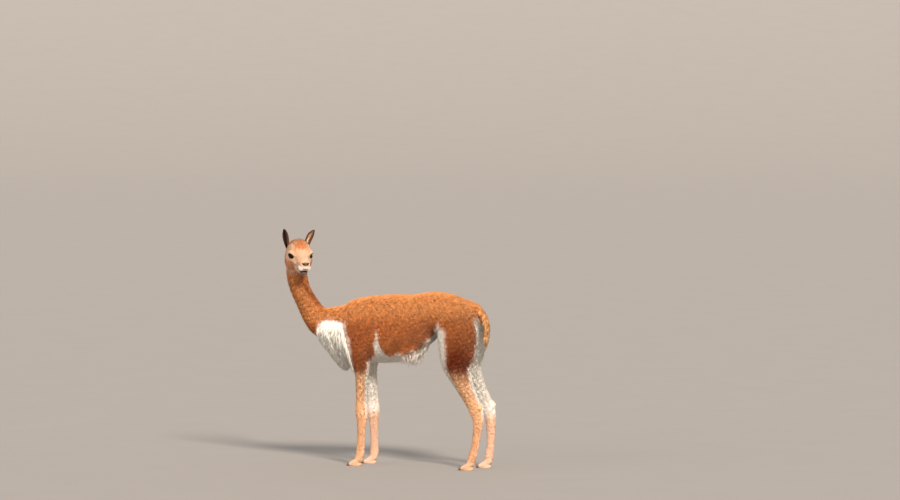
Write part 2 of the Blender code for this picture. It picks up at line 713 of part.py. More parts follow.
def add_fringe(torso, rng):
    """The white locks along both sides of the belly."""
    group = bpy.data.collections.new("fringe")
    bpy.context.scene.collection.children.link(group)
    for z, out, count, length, width, lift in FRINGE_ROWS:
        for side in (-1, 1):
            x = np.linspace(*FRINGE_ENDS, count) + rng.uniform(-0.005, 0.005, count)
            start = np.stack([x, np.full(count, side * out), z + rng.uniform(-0.008, 0.008, count)], axis=1)
            roots = settled(body_distance, start)
            fall = np.tile(FRINGE_FALL, (count, 1)) + rng.normal(0, (0.08, 0.04, 0), (count, 3))
            fall[:, 1] -= 0.10 * side
            lengths = length * rng.uniform(0.85, 1.15, count)
            lifts = lift * rng.uniform(0.6, 1.3, count)
            paths, facing = combed(body_distance, roots, unit(fall), lengths, lifts)
            lock_objects(paths, facing, width * rng.uniform(0.75, 1.25, count), group)
    fuse_locks(torso, group)


def add_tail_locks(tail, distance, rng):
    """Locks all round the tail, from its root down past its tip."""
    group = bpy.data.collections.new("tail hair")
    bpy.context.scene.collection.children.link(group)
    length, width, lift = TAIL_LOCK
    rows = np.array(TAIL)[::-1]
    for z, count in TAIL_ROWS:
        angle = np.linspace(-1.6, 1.6, count) + rng.uniform(-0.2, 0.2, count)
        x = np.interp(z, rows[:, 1], rows[:, 0])
        start = np.stack([x + 0.03 * np.cos(angle), 0.03 * np.sin(angle), np.full(count, z)], axis=1)
        roots = settled(distance, start)
        fall = unit(np.tile((0.02, 0, -1), (count, 1)) + rng.normal(0, (0.03, 0.04, 0), (count, 3)))
        lengths = length * rng.uniform(0.85, 1.15, count)
        lifts = lift * rng.uniform(0.6, 1.3, count)
        paths, facing = combed(distance, roots, fall, lengths, lifts)
        lock_objects(paths, facing, width * rng.uniform(0.75, 1.25, count), group)
    fuse_locks(tail, group)


def painted(obj, colour, roughness=0.9):
    """Gives the object its own plain material and smooth shading."""
    material = bpy.data.materials.new(obj.name)
    material.use_nodes = True
    shader = material.node_tree.nodes["Principled BSDF"]
    shader.inputs["Base Color"].default_value = (*colour, 1)
    shader.inputs["Roughness"].default_value = roughness
    shader.inputs["Metallic"].default_value = 0
    obj.data.materials.clear()
    obj.data.materials.append(material)
    obj.data.shade_smooth()
    obj.data.set_sharp_from_angle(angle=math.radians(50))
    return obj


FAWN = (0.46, 0.17, 0.05)
CREAM = (0.80, 0.68, 0.55)
EAR_BROWN = (0.20, 0.10, 0.05)
DARK_NAIL = (0.05, 0.04, 0.035)
EYE_BROWN = (0.02, 0.01, 0.008)

# The planes between the named parts, as a point and a normal.
BELOW_SKULL = ((-0.577, 0.0, 0.973), (0.18, -0.24, 1.0))
NECK_ROOT = ((-0.430, 0, 0.700), (-0.80, 0, 0.60))
CHEST_BACK = ((-0.245, 0, 0.660), (-1, 0, 0))


def turned_back(plane):
    """The same plane seen from its other side."""
    point, normal = plane
    return point, tuple(-n for n in normal)


def fore_leg_cell(sign):
    """The fore leg below the armpit, beside the keel of the chest."""
    return [
        ((0, 0, 0.535), (0.10, 0, 1)),
        CHEST_BACK,
        ((-0.105, 0, 0), (1, 0, 0)),
        ((0, sign * 0.026, 0), (0, -sign, 0)),
    ]


def hind_leg_cell(sign):
    """The hind leg below a slant cut from the flank's fold to the buttock."""
    return [
        ((0.350, 0, 0.664), (0.20, 0, 1)),
        ((0.218, 0, 0), (-1, 0, 0)),
        ((0, 0, 0), (0, -sign, 0)),
    ]


# The lengths of a leg: name, the rows above and below its lower cut, triangles, and the net's step.
FORE_CUTS = (("upper_leg", 7, 8, 460, 0.006), ("shank", 9, 10, 230, 0.0045))
HIND_CUTS = (
    ("thigh", 4, 5, 460, 0.008),
    ("gaskin", 7, 8, 250, 0.006),
    ("shank", 10, 11, 230, 0.0045),
)
FOOT_TRIANGLES = 410

# The boxes in which the flesh is sampled, as two corners; the head's is about its origin.
HEAD_BOX = ((-0.115, -0.140, -0.100), (0.130, 0.125, 0.105))
NECK_BOX = ((-0.66, -0.09, 0.62), (-0.33, 0.09, 1.03))
TRUNK_BOX = ((-0.56, -0.17, 0.40), (0.50, 0.17, 0.93))


def level_between(rows, upper, lower):
    """A plane across a leg, half way between two of its rows and square to it."""
    a, b = rows[upper], rows[lower]
    middle = ((a[0] + b[0]) / 2, 0, (a[1] + b[1]) / 2)
    along = (a[0] - b[0], 0, a[1] - b[1])
    return middle, along


def build_leg(name, rows, track, sign, leg_cell, cuts):
    """Nodes of one leg: lengths between the cuts, then the foot and its two nails."""
    shapes = LEGS[name]
    low = np.min([shape.low for shape in shapes], axis=0) - 0.01
    high = np.max([shape.high for shape in shapes], axis=0) + 0.01
    low[2] = -0.02
    last = len(cuts) - 1
    for k, (part, row, next_row, triangles, step) in enumerate(cuts):
        top = leg_cell if k == 0 else [level_between(rows, cuts[k - 1][1], cuts[k - 1][2])]
        bottom = [turned_back(level_between(rows, row, next_row))]
        part_low, part_high = low.copy(), high.copy()
        part_high[2] = 0.72 if k == 0 else top[0][0][2] + 0.04
        part_low[2] = bottom[0][0][2] - 0.04
        lump = made_object(f"{name}_{part}", *netted(body_distance, part_low, part_high, step))
        thinned(lump, triangles)
        kept_within(lump, top + bottom)
        painted(lump, FAWN)
        if k == last:
            build_foot(name, rows, track, sign, turned_back(bottom[0]))


def build_foot(name, rows, track, sign, ankle):
    """The foot from the fetlock down, flat at the floor, and a nail on each toe."""
    shapes = LEGS[name]
    heel_x, heel_y = rows[-1][0], sign * track * rows[-1][4]
    low = (heel_x - 0.075, heel_y - 0.045, -0.016)
    high = (heel_x + 0.045, heel_y + 0.045, ankle[0][2] + 0.03)
    points, faces = netted(lambda p: joined_distance(shapes, p), low, high, 0.0021)
    floor = ((0, 0, 0), (0, 0, -1))
    nail_plane = ((heel_x - NAIL_START, 0, 0), (1, 0, 0))
    foot = thinned(made_object(f"{name}_foot", points, faces), FOOT_TRIANGLES)
    whole = foot.copy()
    whole.data = foot.data.copy()
    bpy.context.scene.collection.objects.link(whole)
    kept_within(foot, [ankle, (Vector((0, 0, GAP / 2)) * -1, floor[1]), turned_back(nail_plane)])
    painted(foot, FAWN)
    for toe, label in ((1, "right"), (-1, "left")):
        nail = whole.copy()
        nail.data = whole.data.copy()
        nail.name = f"{name}_nail_{label}"
        bpy.context.scene.collection.objects.link(nail)
        middle = ((0, heel_y, 0), (0, -toe, 0))
        kept_within(nail, [nail_plane, (Vector((0, 0, GAP / 2)) * -1, floor[1]), middle])
        painted(nail, DARK_NAIL, 0.4)
    bpy.data.objects.remove(whole)


# Each ear's root, tip, the way it opens and how far it bows, in the head's frame, by side.
EARS = {
    1: ((-0.055, 0.046, 0.031), (-0.052, 0.0820, 0.119), (0.90, 0.40, 0), 0.006),
    -1: ((-0.055, -0.061, 0.030), (-0.050, -0.0767, 0.1245), (0.45, -0.90, 0), -0.005),
}


def build_ear(name, side, head):
    """A pointed leaf curled into a cup about its own axis, seated on the head."""
    base, tip, opens, bow = EARS[side]
    axis = unit(np.subtract(tip, base))
    opens = unit(opens - axis * (axis @ opens))
    beside = np.cross(axis, opens)
    stations, turns = 9, 8
    v = np.linspace(0, 1, stations)
    width = 0.0198 * np.interp(v, (0, 0.2, 0.4, 0.6, 0.76, 0.9, 1), (0.55, 0.68, 0.88, 1.0, 0.90, 0.52, 0.08))
    wrap = np.radians(np.interp(v, (0, 0.25, 0.6, 1), (125, 105, 85, 65)))
    thick = np.interp(v, (0, 0.5, 1), (0.0030, 0.0024, 0.0011))
    around = np.linspace(-1, 1, turns)
    rings = []
    for wall in (0, 1):
        radius = width * 1.02 / np.sin(np.minimum(wrap, math.pi / 2)) - wall * thick
        angle = wrap[:, None] * around * (1 - 0.03 * wall)
        out = -np.cos(angle) * radius[:, None] + (radius * np.cos(wrap) * 0.4)[:, None]
        aside = np.sin(angle) * radius[:, None]
        bend = bow * np.sin(v * math.pi)
        middle = base + axis * (v[:, None] * (EAR_LENGTH + 0.004) - 0.012) - opens * bend[:, None]
        rings.append(middle[:, None] + opens * out[..., None] + beside * aside[..., None])
    outer, inner = rings
    points = np.vstack([outer.reshape(-1, 3), inner.reshape(-1, 3)])
    half = stations * turns
    faces = []
    for i, j in itertools.product(range(stations - 1), range(turns - 1)):
        a, b, c, d = i * turns + j, i * turns + j + 1, (i + 1) * turns + j + 1, (i + 1) * turns + j
        faces += [(a, b, c), (a, c, d), (half + a, half + c, half + b), (half + a, half + d, half + c)]
    rim = [(i * turns, (i + 1) * turns) for i in range(stations - 1)]
    rim += [((stations - 1) * turns + j, (stations - 1) * turns + j + 1) for j in range(turns - 1)]
    rim += [((i + 1) * turns + turns - 1, i * turns + turns - 1) for i in reversed(range(stations - 1))]
    rim += [(j + 1, j) for j in reversed(range(turns - 1))]
    for a, b in rim:
        faces += [(a, b, half + b), (a, half + b, half + a)]
    ear = made_object(name, points @ HEAD_TURN.T + HEAD_ORIGIN, faces)
    turn_outward(ear)
    boolean(ear, pushed_out(head, GAP), "DIFFERENCE")
    keep_largest(ear)
    painted(ear, EAR_BROWN)


def build_eyes(head):
    """Each eyeball is a ball seated in a socket that clears it by the gap."""
    for name, side in (("eye_left", 1), ("eye_right", -1)):
        centre = HEAD_ORIGIN + HEAD_TURN @ (EYE_PLACE * (1, side, 1))
        for radius, label in ((EYE_RADIUS + 2 * GAP, "socket"), (EYE_RADIUS, name)):
            ball = bmesh.new()
            bmesh.ops.create_uvsphere(ball, u_segments=14, v_segments=8, radius=radius)
            bmesh.ops.translate(ball, verts=ball.verts[:], vec=Vector(centre))
            mesh = bpy.data.meshes.new(label)
            ball.to_mesh(mesh)
            ball.free()
            obj = bpy.data.objects.new(label, mesh)
            bpy.context.scene.collection.objects.link(obj)
            if label == "socket":
                boolean(head, obj, "DIFFERENCE")
            else:
                painted(obj, EYE_BROWN, 0.1)
    keep_largest(head)


def build_tail(torso, rng):
    """The tail hangs from the rump's top, clear of the buttocks."""
    shape = Swept([(x, 0, z, wide, deep) for x, z, wide, deep in TAIL], 0.02)
    tail = made_object("tail", *netted(shape.distance, shape.low - 0.01, shape.high + 0.01, 0.005))
    thinned(tail, 260)
    add_tail_locks(tail, shape.distance, rng)
    boolean(tail, pushed_out(torso, GAP), "DIFFERENCE")
    keep_largest(tail)
    painted(tail, FAWN)


def build():
    """Every node, then the whole set so that the origin lies under its middle."""
    for obj in list(bpy.data.objects):
        bpy.data.objects.remove(obj)

    low, high = HEAD_ORIGIN + HEAD_BOX[0], HEAD_ORIGIN + HEAD_BOX[1]
    head = thinned(made_object("head", *netted(head_and_neck_distance, low, high, 0.0018)), 2850)
    kept_within(head, [turned_back(BELOW_SKULL)])
    build_eyes(head)
    painted(head, FAWN)
    build_ear("ear_left", 1, head)
    build_ear("ear_right", -1, head)

    low, high = NECK_BOX
    neck = thinned(made_object("neck", *netted(head_and_neck_distance, low, high, 0.006)), 560)
    kept_within(neck, [BELOW_SKULL, turned_back(NECK_ROOT)])
    painted(neck, FAWN)

    low, high = TRUNK_BOX
    trunk = thinned(made_object("torso", *netted(body_distance, low, high, 0.009)), 1660)
    chest = trunk.copy()
    chest.data = trunk.data.copy()
    chest.name = "chest"
    bpy.context.scene.collection.objects.link(chest)
    rng = np.random.default_rng(7)
    add_bib(chest, rng)
    kept_within(chest, [NECK_ROOT, turned_back(CHEST_BACK)])
    painted(chest, CREAM)
    add_fringe(trunk, rng)
    kept_within(trunk, [CHEST_BACK])
    for sign in (-1, 1):
        cut_away(trunk, fore_leg_cell(sign))
        cut_away(trunk, hind_leg_cell(sign))
    painted(trunk, FAWN)
    build_tail(trunk, rng)

    for sign, side in ((-1, "left"), (1, "right")):
        fore_rows = LEFT_FORE_LEG if sign < 0 else RIGHT_FORE_LEG
        hind_rows = LEFT_HIND_LEG if sign < 0 else RIGHT_HIND_LEG
        build_leg(f"fore_{side}", fore_rows, FORE_TRACK, sign, fore_leg_cell(sign), FORE_CUTS)
        build_leg(f"hind_{side}", hind_rows, HIND_TRACK, sign, hind_leg_cell(sign), HIND_CUTS)

    for obj in bpy.data.objects:
        obj.data.transform(Matrix.Translation(MOVE))


build()
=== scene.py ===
# %% [markdown]
# # A standing vicuna
# A vicuna is a small wild relative of the llama: slim legs, a long neck, a short face with large
# dark eyes, dense fawn wool, and long white hair on the chest and along the belly. This lesson
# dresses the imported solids: one skin without seams, then wool and hair as small solid tufts that lie
# along the body, then eyes, ears, lashes and toenails.

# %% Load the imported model
import itertools
import json
import math

import bmesh
import bpy
import numpy as np
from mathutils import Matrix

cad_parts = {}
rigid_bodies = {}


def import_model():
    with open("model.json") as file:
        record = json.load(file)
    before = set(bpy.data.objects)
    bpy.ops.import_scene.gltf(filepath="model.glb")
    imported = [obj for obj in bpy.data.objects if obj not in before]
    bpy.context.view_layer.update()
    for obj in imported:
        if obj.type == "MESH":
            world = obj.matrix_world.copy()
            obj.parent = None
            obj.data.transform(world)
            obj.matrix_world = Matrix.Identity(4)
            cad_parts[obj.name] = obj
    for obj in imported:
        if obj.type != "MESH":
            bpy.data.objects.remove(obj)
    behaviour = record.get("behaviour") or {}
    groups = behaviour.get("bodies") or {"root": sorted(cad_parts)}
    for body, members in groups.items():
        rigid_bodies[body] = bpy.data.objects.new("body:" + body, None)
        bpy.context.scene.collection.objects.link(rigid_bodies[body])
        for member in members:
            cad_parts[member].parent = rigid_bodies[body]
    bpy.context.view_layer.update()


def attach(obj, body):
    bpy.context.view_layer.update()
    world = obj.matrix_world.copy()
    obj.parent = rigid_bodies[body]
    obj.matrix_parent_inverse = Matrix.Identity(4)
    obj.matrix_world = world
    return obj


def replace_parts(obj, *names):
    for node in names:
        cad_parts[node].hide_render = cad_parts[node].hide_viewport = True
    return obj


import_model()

# %% [markdown]
# ## The camera
# A telephoto lens far out on the animal's left, a little towards its rump and above its back,
# flattens the depth, so that the animal looks the same size from breast to rump. The camera comes
# first, because everything after it is judged through it.

# %% Camera
CAMERA_PLACE = (10.592, -22.561, 2.179)
CAMERA_AIM = (0.2534, 0.2013, 1.0759)
FOCAL_LENGTH, SENSOR_WIDTH = 200.0, 36  # mm
SIGHT = 400  # metres, past the far side of the studio


def look_at(obj, place, target):
    """Puts an object at a place with its own -Z axis towards the target and its Y axis upward."""
    obj.location = place
    away = obj.location - type(obj.location)(target)
    obj.rotation_euler = away.to_track_quat("Z", "Y").to_euler()


camera = bpy.data.objects.new("camera", bpy.data.cameras.new("camera"))
camera.data.lens, camera.data.sensor_width = FOCAL_LENGTH, SENSOR_WIDTH
camera.data.clip_end = SIGHT
look_at(camera, CAMERA_PLACE, CAMERA_AIM)
bpy.context.scene.collection.objects.link(camera)
bpy.context.scene.camera = camera
print("camera", round(camera.location.length, 1), "metres from the origin")

# %% [markdown]
# ## The flesh as a field
# A body is easiest to describe as a number at each point of space: the distance to its surface,
# negative inside. A limb is a tube swept along a curve, a muscle is a ball, and two of them flow
# together where the lesser of both distances is rounded off. Lengths are metres. In these tables
# x = 0 is the middle of the barrel, and MOVE brings the result over the middle of the feet.

# %% Sizes of the body
MOVE = np.array((0.0666, 0.0103, 0.0))
TRUNK = (  # x, z of the middle, half-width, half-height
    (-0.330, 0.672, 0.086, 0.104),
    (-0.260, 0.668, 0.108, 0.150),
    (-0.170, 0.678, 0.121, 0.165),
    (-0.080, 0.688, 0.130, 0.166),
    (0.020, 0.706, 0.134, 0.157),
    (0.090, 0.730, 0.130, 0.138),
    (0.150, 0.758, 0.124, 0.114),
    (0.200, 0.772, 0.120, 0.102),
    (0.270, 0.762, 0.117, 0.102),
    (0.345, 0.732, 0.108, 0.095),
)
NECK = (  # x, z, half-width, half-depth
    (-0.260, 0.690, 0.074, 0.118),
    (-0.340, 0.692, 0.070, 0.100),
    (-0.400, 0.700, 0.064, 0.085),
    (-0.444, 0.717, 0.058, 0.073),
    (-0.477, 0.748, 0.053, 0.063),
    (-0.504, 0.787, 0.050, 0.0560),
    (-0.529, 0.828, 0.048, 0.0515),
    (-0.553, 0.872, 0.047, 0.0505),
    (-0.569, 0.922, 0.049, 0.0510),
    (-0.578, 0.975, 0.051, 0.0505),
    (-0.580, 1.020, 0.051, 0.0500),
)
TAIL = (
    (0.385, 0.790, 0.016, 0.015),
    (0.420, 0.796, 0.020, 0.016),
    (0.450, 0.773, 0.021, 0.0160),
    (0.468, 0.732, 0.021, 0.0160),
    (0.472, 0.690, 0.019, 0.0145),
    (0.468, 0.658, 0.012, 0.0095),
)
BREAST = (  # the dense underwool that the long hair of the chest stands on
    (-0.378, 0.660, 0.058, 0.042),
    (-0.350, 0.600, 0.060, 0.038),
    (-0.322, 0.550, 0.052, 0.034),
    (-0.302, 0.515, 0.038, 0.026),
)
BELLY = (
    (-0.090, 0.570, 0.070, 0.044),
    (-0.020, 0.572, 0.084, 0.044),
    (0.060, 0.582, 0.088, 0.044),
    (0.098, 0.598, 0.084, 0.042),
)

# %% [markdown]
# ## The legs
# A vicuna's legs are long and thin, with a knee halfway up the foreleg and a sharp hock behind. In
# this pose the far legs stand a little apart from the near ones, so each leg has a table of its own.
# Each foot has two toes with a soft pad behind their nails.

# %% Sizes of the legs
FORE_TRACK, HIND_TRACK = 0.076, 0.084  # from the middle plane to a foot
LEGS = {  # x, z, half-width, half-depth, and the share of the track, from the joint down
    "fore_left": (
        (-0.190, 0.690, 0.046, 0.080, 0.94),
        (-0.190, 0.620, 0.046, 0.072, 1.03),
        (-0.182, 0.560, 0.041, 0.060, 1.07),
        (-0.175, 0.508, 0.035, 0.047, 1.07),
        (-0.173, 0.460, 0.030, 0.0365, 1.05),
        (-0.174, 0.410, 0.0275, 0.0325, 1.03),
        (-0.176, 0.332, 0.0240, 0.0300, 1.01),
        (-0.175, 0.266, 0.0255, 0.0335, 1.0),
        (-0.176, 0.215, 0.0200, 0.0250, 1.0),
        (-0.180, 0.125, 0.0170, 0.0200, 1.0),
        (-0.186, 0.060, 0.0200, 0.0230, 1.0),
        (-0.192, 0.040, 0.0185, 0.0200, 1.0),
    ),
    "fore_right": (
        (-0.190, 0.690, 0.046, 0.080, 0.94),
        (-0.196, 0.620, 0.046, 0.070, 1.03),
        (-0.202, 0.560, 0.041, 0.056, 1.07),
        (-0.205, 0.508, 0.035, 0.044, 1.07),
        (-0.202, 0.460, 0.030, 0.0355, 1.05),
        (-0.197, 0.410, 0.0275, 0.0325, 1.03),
        (-0.188, 0.332, 0.0240, 0.0300, 1.01),
        (-0.183, 0.266, 0.0255, 0.0335, 1.0),
        (-0.181, 0.215, 0.0200, 0.0250, 1.0),
        (-0.178, 0.125, 0.0170, 0.0200, 1.0),
        (-0.178, 0.060, 0.0200, 0.0230, 1.0),
        (-0.183, 0.040, 0.0185, 0.0200, 1.0),
    ),
    "hind_left": (
        (0.338, 0.728, 0.058, 0.104, 0.79),
        (0.350, 0.670, 0.058, 0.110, 0.86),
        (0.352, 0.600, 0.053, 0.102, 0.92),
        (0.350, 0.535, 0.046, 0.087, 0.97),
        (0.364, 0.480, 0.039, 0.066, 1.0),
        (0.395, 0.410, 0.031, 0.047, 1.0),
        (0.432, 0.340, 0.0255, 0.037, 1.0),
        (0.456, 0.292, 0.0235, 0.036, 1.0),
        (0.465, 0.250, 0.0215, 0.0295, 1.0),
        (0.461, 0.200, 0.0180, 0.0235, 1.0),
        (0.450, 0.122, 0.0170, 0.0200, 1.02),
        (0.434, 0.064, 0.0200, 0.0220, 1.03),
        (0.425, 0.042, 0.0185, 0.0195, 1.03),
    ),
    "hind_right": (
        (0.338, 0.728, 0.058, 0.104, 0.79),
        (0.348, 0.670, 0.058, 0.108, 0.86),
        (0.336, 0.600, 0.053, 0.092, 0.92),
        (0.332, 0.535, 0.046, 0.080, 0.97),
        (0.347, 0.480, 0.039, 0.062, 1.0),
        (0.379, 0.410, 0.031, 0.048, 1.0),
        (0.419, 0.345, 0.0255, 0.038, 1.0),
        (0.446, 0.296, 0.0235, 0.036, 0.99),
        (0.457, 0.250, 0.0215, 0.0290, 0.98),
        (0.459, 0.200, 0.0180, 0.0235, 0.98),
        (0.458, 0.122, 0.0170, 0.0200, 0.97),
        (0.452, 0.064, 0.0200, 0.0220, 0.96),
        (0.446, 0.042, 0.0185, 0.0195, 0.96),
    ),
}
TOE = (  # distance ahead of the pastern, z, half-width, half-height, splay
    (-0.004, 0.034, 0.0120, 0.0160, 0.0070),
    (0.014, 0.022, 0.0118, 0.0140, 0.0105),
    (0.034, 0.013, 0.0105, 0.0115, 0.0118),
    (0.047, 0.0095, 0.0085, 0.0090, 0.0120),
    (0.056, 0.0060, 0.0055, 0.0060, 0.0116),
    (0.061, 0.0035, 0.0025, 0.0030, 0.0112),
)
NAIL_START = 0.045  # distance ahead of the pastern
PAD = (0.020, 0.0075, 0.0330, 0.0215, 0.0150)  # ahead, z, and the half-sizes along, across, up
HOCK_KNOB = 0.013
print(sum(len(rows) for rows in LEGS.values()), "sections in four legs")

# %% [markdown]
# ## Tubes and balls
# Two shapes are enough for an animal: an elliptic tube along a smooth curve, for a trunk, a neck or
# a bone with its muscles, and a ball for a single lump. Both give a number for whole arrays of
# points at once. It is only close to the true distance, but it is exact where the surface lies.

# %% Tubes, balls and how they join
ACROSS = np.array((0.0, 1.0, 0.0))


def unit(vector):
    """The vector, or each row of an array of them, scaled to length 1."""
    vector = np.asarray(vector, float)
    return vector / np.maximum(np.linalg.norm(vector, axis=-1, keepdims=True), 1e-12)


def eased(t):
    """0 below 0, 1 above 1, and 3t^2 - 2t^3 between."""
    t = np.clip(t, 0, 1)
    return t * t * (3 - 2 * t)


def eased_rows(rows, steps=5):
    """Rows resampled along a smooth curve through them: a cubic with central-difference slopes."""
    rows = np.asarray(rows, float)
    slopes = np.gradient(rows, axis=0)
    t = np.arange(steps)[:, None] / steps
    spans = [
        (2 * t**3 - 3 * t**2 + 1) * rows[i]
        + (t**3 - 2 * t**2 + t) * slopes[i]
        + (3 * t**2 - 2 * t**3) * rows[i + 1]
        + (t**3 - t**2) * slopes[i + 1]
        for i in range(len(rows) - 1)
    ]
    return np.vstack([*spans, rows[-1:]])


def smooth_min(a, b, blend):
    """The lesser of a and b, less (blend - |a - b|)^2 / (4 blend) where they differ by less."""
    near = np.maximum(blend - np.abs(a - b), 0) / blend
    return np.minimum(a, b) - near * near * blend / 4


class Swept:
    """A tube along x, y, z rows, with elliptic sections: half-width across, half-depth otherwise."""

    def __init__(self, rows, blend=0.02, power=2.0):
        self.rows = eased_rows(rows)
        self.blend, self.power = blend, power
        reach = self.rows[:, 3:5].max(axis=1)[:, None]
        self.low = (self.rows[:, :3] - reach).min(axis=0)
        self.high = (self.rows[:, :3] + reach).max(axis=0)

    def distance(self, p):
        """How far p lies outside the ellipse of the nearest section."""
        nearest, place = np.full(len(p), 1e9), np.zeros(len(p))
        for i, (a, b) in enumerate(itertools.pairwise(self.rows[:, :3])):
            along = b - a
            t = np.clip((p - a) @ along / (along @ along), 0, 1)
            away = p - a - t[:, None] * along
            squared = np.einsum("ij,ij->i", away, away)
            closer = squared < nearest
            nearest[closer] = squared[closer]
            place[closer] = (i + t)[closer]
        stations = np.arange(len(self.rows))
        at = np.stack([np.interp(place, stations, self.rows[:, k]) for k in range(5)], axis=1)
        away = p - at[:, :3]
        wide = np.abs(away @ ACROSS)
        deep = np.sqrt(np.maximum(np.einsum("ij,ij->i", away, away) - wide**2, 0))
        ratio = ((wide / at[:, 3]) ** self.power + (deep / at[:, 4]) ** self.power) ** (1 / self.power)
        slope = np.hypot(wide / at[:, 3] ** 2, deep / at[:, 4] ** 2)
        return ratio * (ratio - 1) / np.maximum(slope, 1e-6)


class Ball:
    """An ellipsoid with given half-sizes."""

    def __init__(self, centre, radii, blend=0.02):
        self.centre, self.radii, self.blend = np.asarray(centre, float), np.asarray(radii, float), blend
        self.low, self.high = self.centre - self.radii.max(), self.centre + self.radii.max()

    def distance(self, p):
        """With r = |(p - centre) / radii|, the distance is close to r (r - 1) over the slope of r."""
        q = p - self.centre
        ratio = np.linalg.norm(q / self.radii, axis=1)
        return ratio * (ratio - 1) / np.maximum(np.linalg.norm(q / self.radii**2, axis=1), 1e-6)


def joined_distance(shapes, p):
    """The rounded union of the shapes. Each one counts only near its own box."""
    total = np.full(len(p), 1.0)
    for shape in shapes:
        margin = shape.blend + 0.02
        near = ((p > shape.low - margin) & (p < shape.high + margin)).all(axis=1)
        if near.any():
            total[near] = smooth_min(total[near], shape.distance(p[near]), shape.blend)
    return total


# %% [markdown]
# ## The body put together
# The tables become tubes here. The hock gets a knob for the point of the heel, and each foot gets
# two toes that spread and one pad.

# %% Trunk, neck, tail and legs
def upright(rows):
    """Rows of x, z and two half-sizes, put in the middle plane."""
    return [(x, 0, z, wide, deep) for x, z, wide, deep in rows]


def leg_shapes(rows, track, sign):
    """One leg with its heel knob, two toes and the pad. sign is -1 for the animal's left."""
    path = [(x, sign * track * out, z, wide, deep) for x, z, wide, deep, out in rows]
    shapes = [Swept(path, 0.022)]
    heel_x, heel_y = path[-1][0], path[-1][1]
    if track == HIND_TRACK:
        x, y, z, _, deep = path[7]
        shapes.append(Ball((x + deep * 0.62, y, z + 0.022), [HOCK_KNOB] * 3, 0.02))
    for toe in (1, -1):
        ray = [(heel_x - ahead, heel_y + toe * out, z, wide, high) for ahead, z, wide, high, out in TOE]
        shapes.append(Swept(ray, 0.006))
    ahead, z, long, wide, high = PAD
    return shapes + [Ball((heel_x - ahead, heel_y, z), (long, wide, high), 0.008)]


LEG_SHAPES = {
    name: leg_shapes(rows, FORE_TRACK if "fore" in name else HIND_TRACK, -1 if "left" in name else 1)
    for name, rows in LEGS.items()
}
TRUNK_SHAPES = [
    Swept(upright(TRUNK), 0.03, 2.3),
    Swept(upright(NECK), 0.03),
    Swept(upright(BREAST), 0.03),
    Swept(upright(BELLY), 0.02),
]
TAIL_SHAPE = Swept(upright(TAIL), 0.01)
BODY_SHAPES = TRUNK_SHAPES + [TAIL_SHAPE] + [s for shapes in LEG_SHAPES.values() for s in shapes]
print(len(BODY_SHAPES), "shapes make the body")

# %% [markdown]
# ## The head
# The head has a frame of its own, between the eyes: x towards the nose, y to the animal's left, z
# up. It looks back past the left shoulder. The skull, a short muzzle, the jaw, cheeks, brows and
# split upper lip are lumps that flow together. Lids, nostrils and the mouth line are cut into them.

# %% Sizes of the head
EYE_HEIGHT = 1.045
EYE_MIDPOINT = (-0.531, -0.050)
HEAD_FACES = math.radians(-50.0)
HEAD_PITCH = math.radians(11.0)
EYE_RADIUS = 0.0190
EYE_PLACE = np.array((0.013, 0.0385, 0.002))
EYE_LOOKS = unit((0.64, 0.76, 0.06))
EYE_OPENING = (0.0184, 0.0100)
EYE_SLANT = (0.97, 0, -0.12)  # from the outer corner of the lids to the inner one
LID_THICKNESS = 0.0042
NOSTRIL = ((0.1235, 0.0130, -0.0155), (0.0070, 0.0030, 0.0082))  # middle, and half-sizes of the slit
MOUTH_DEPTH, CLEFT_DEPTH = 0.0052, 0.0030
MUZZLE = (
    (0.000, 0, -0.004, 0.050, 0.050),
    (0.034, 0, -0.012, 0.0380, 0.041),
    (0.066, 0, -0.0195, 0.0305, 0.0340),
    (0.094, 0, -0.0255, 0.0285, 0.0300),
    (0.106, 0, -0.0270, 0.0250, 0.0265),
)
JAW = (
    (-0.050, 0, -0.044, 0.052, 0.040),
    (0.000, 0, -0.050, 0.044, 0.034),
    (0.048, 0, -0.056, 0.0290, 0.0235),
    (0.084, 0, -0.0625, 0.0205, 0.0145),
    (0.096, 0, -0.0635, 0.0180, 0.0115),
)
HEAD_ORIGIN = np.array((*EYE_MIDPOINT, EYE_HEIGHT))
ahead = np.array(
    (
        math.cos(HEAD_FACES) * math.cos(HEAD_PITCH),
        math.sin(HEAD_FACES) * math.cos(HEAD_PITCH),
        -math.sin(HEAD_PITCH),
    )
)
leftward = unit(np.cross((0, 0, 1), ahead))
HEAD_TURN = np.stack([ahead, leftward, np.cross(ahead, leftward)], axis=1)
HEAD_LUMPS = [
    Ball((-0.034, 0, 0.014), (0.064, 0.063, 0.064), 0.02),
    Ball((0.006, 0, 0.020), (0.040, 0.052, 0.040), 0.02),
    Swept(MUZZLE, 0.02, 2.4),
    Swept(JAW, 0.016),
    Ball((0.106, 0, -0.0175), (0.0135, 0.0205, 0.0125), 0.008),
    Ball((0.099, 0, -0.0665), (0.0140, 0.0155, 0.0090), 0.006),
]
for side in (1, -1):
    HEAD_LUMPS += [
        Ball((-0.026, side * 0.043, -0.026), (0.044, 0.028, 0.050), 0.020),  # cheek
        Ball((0.004, side * 0.0440, 0.0225), (0.031, 0.019, 0.0115), 0.011),  # brow
        Ball((0.020, side * 0.032, -0.0240), (0.038, 0.016, 0.014), 0.020),  # cheek bone
        Ball((0.102, side * 0.0150, -0.0400), (0.0195, 0.0165, 0.0160), 0.007),  # upper lip
        Ball((0.108, side * 0.0130, -0.0130), (0.0150, 0.0110, 0.0100), 0.008),  # wing of the nose
        Ball(EYE_PLACE * (1, side, 1), [EYE_RADIUS + LID_THICKNESS] * 3, 0.007),  # lids
    ]

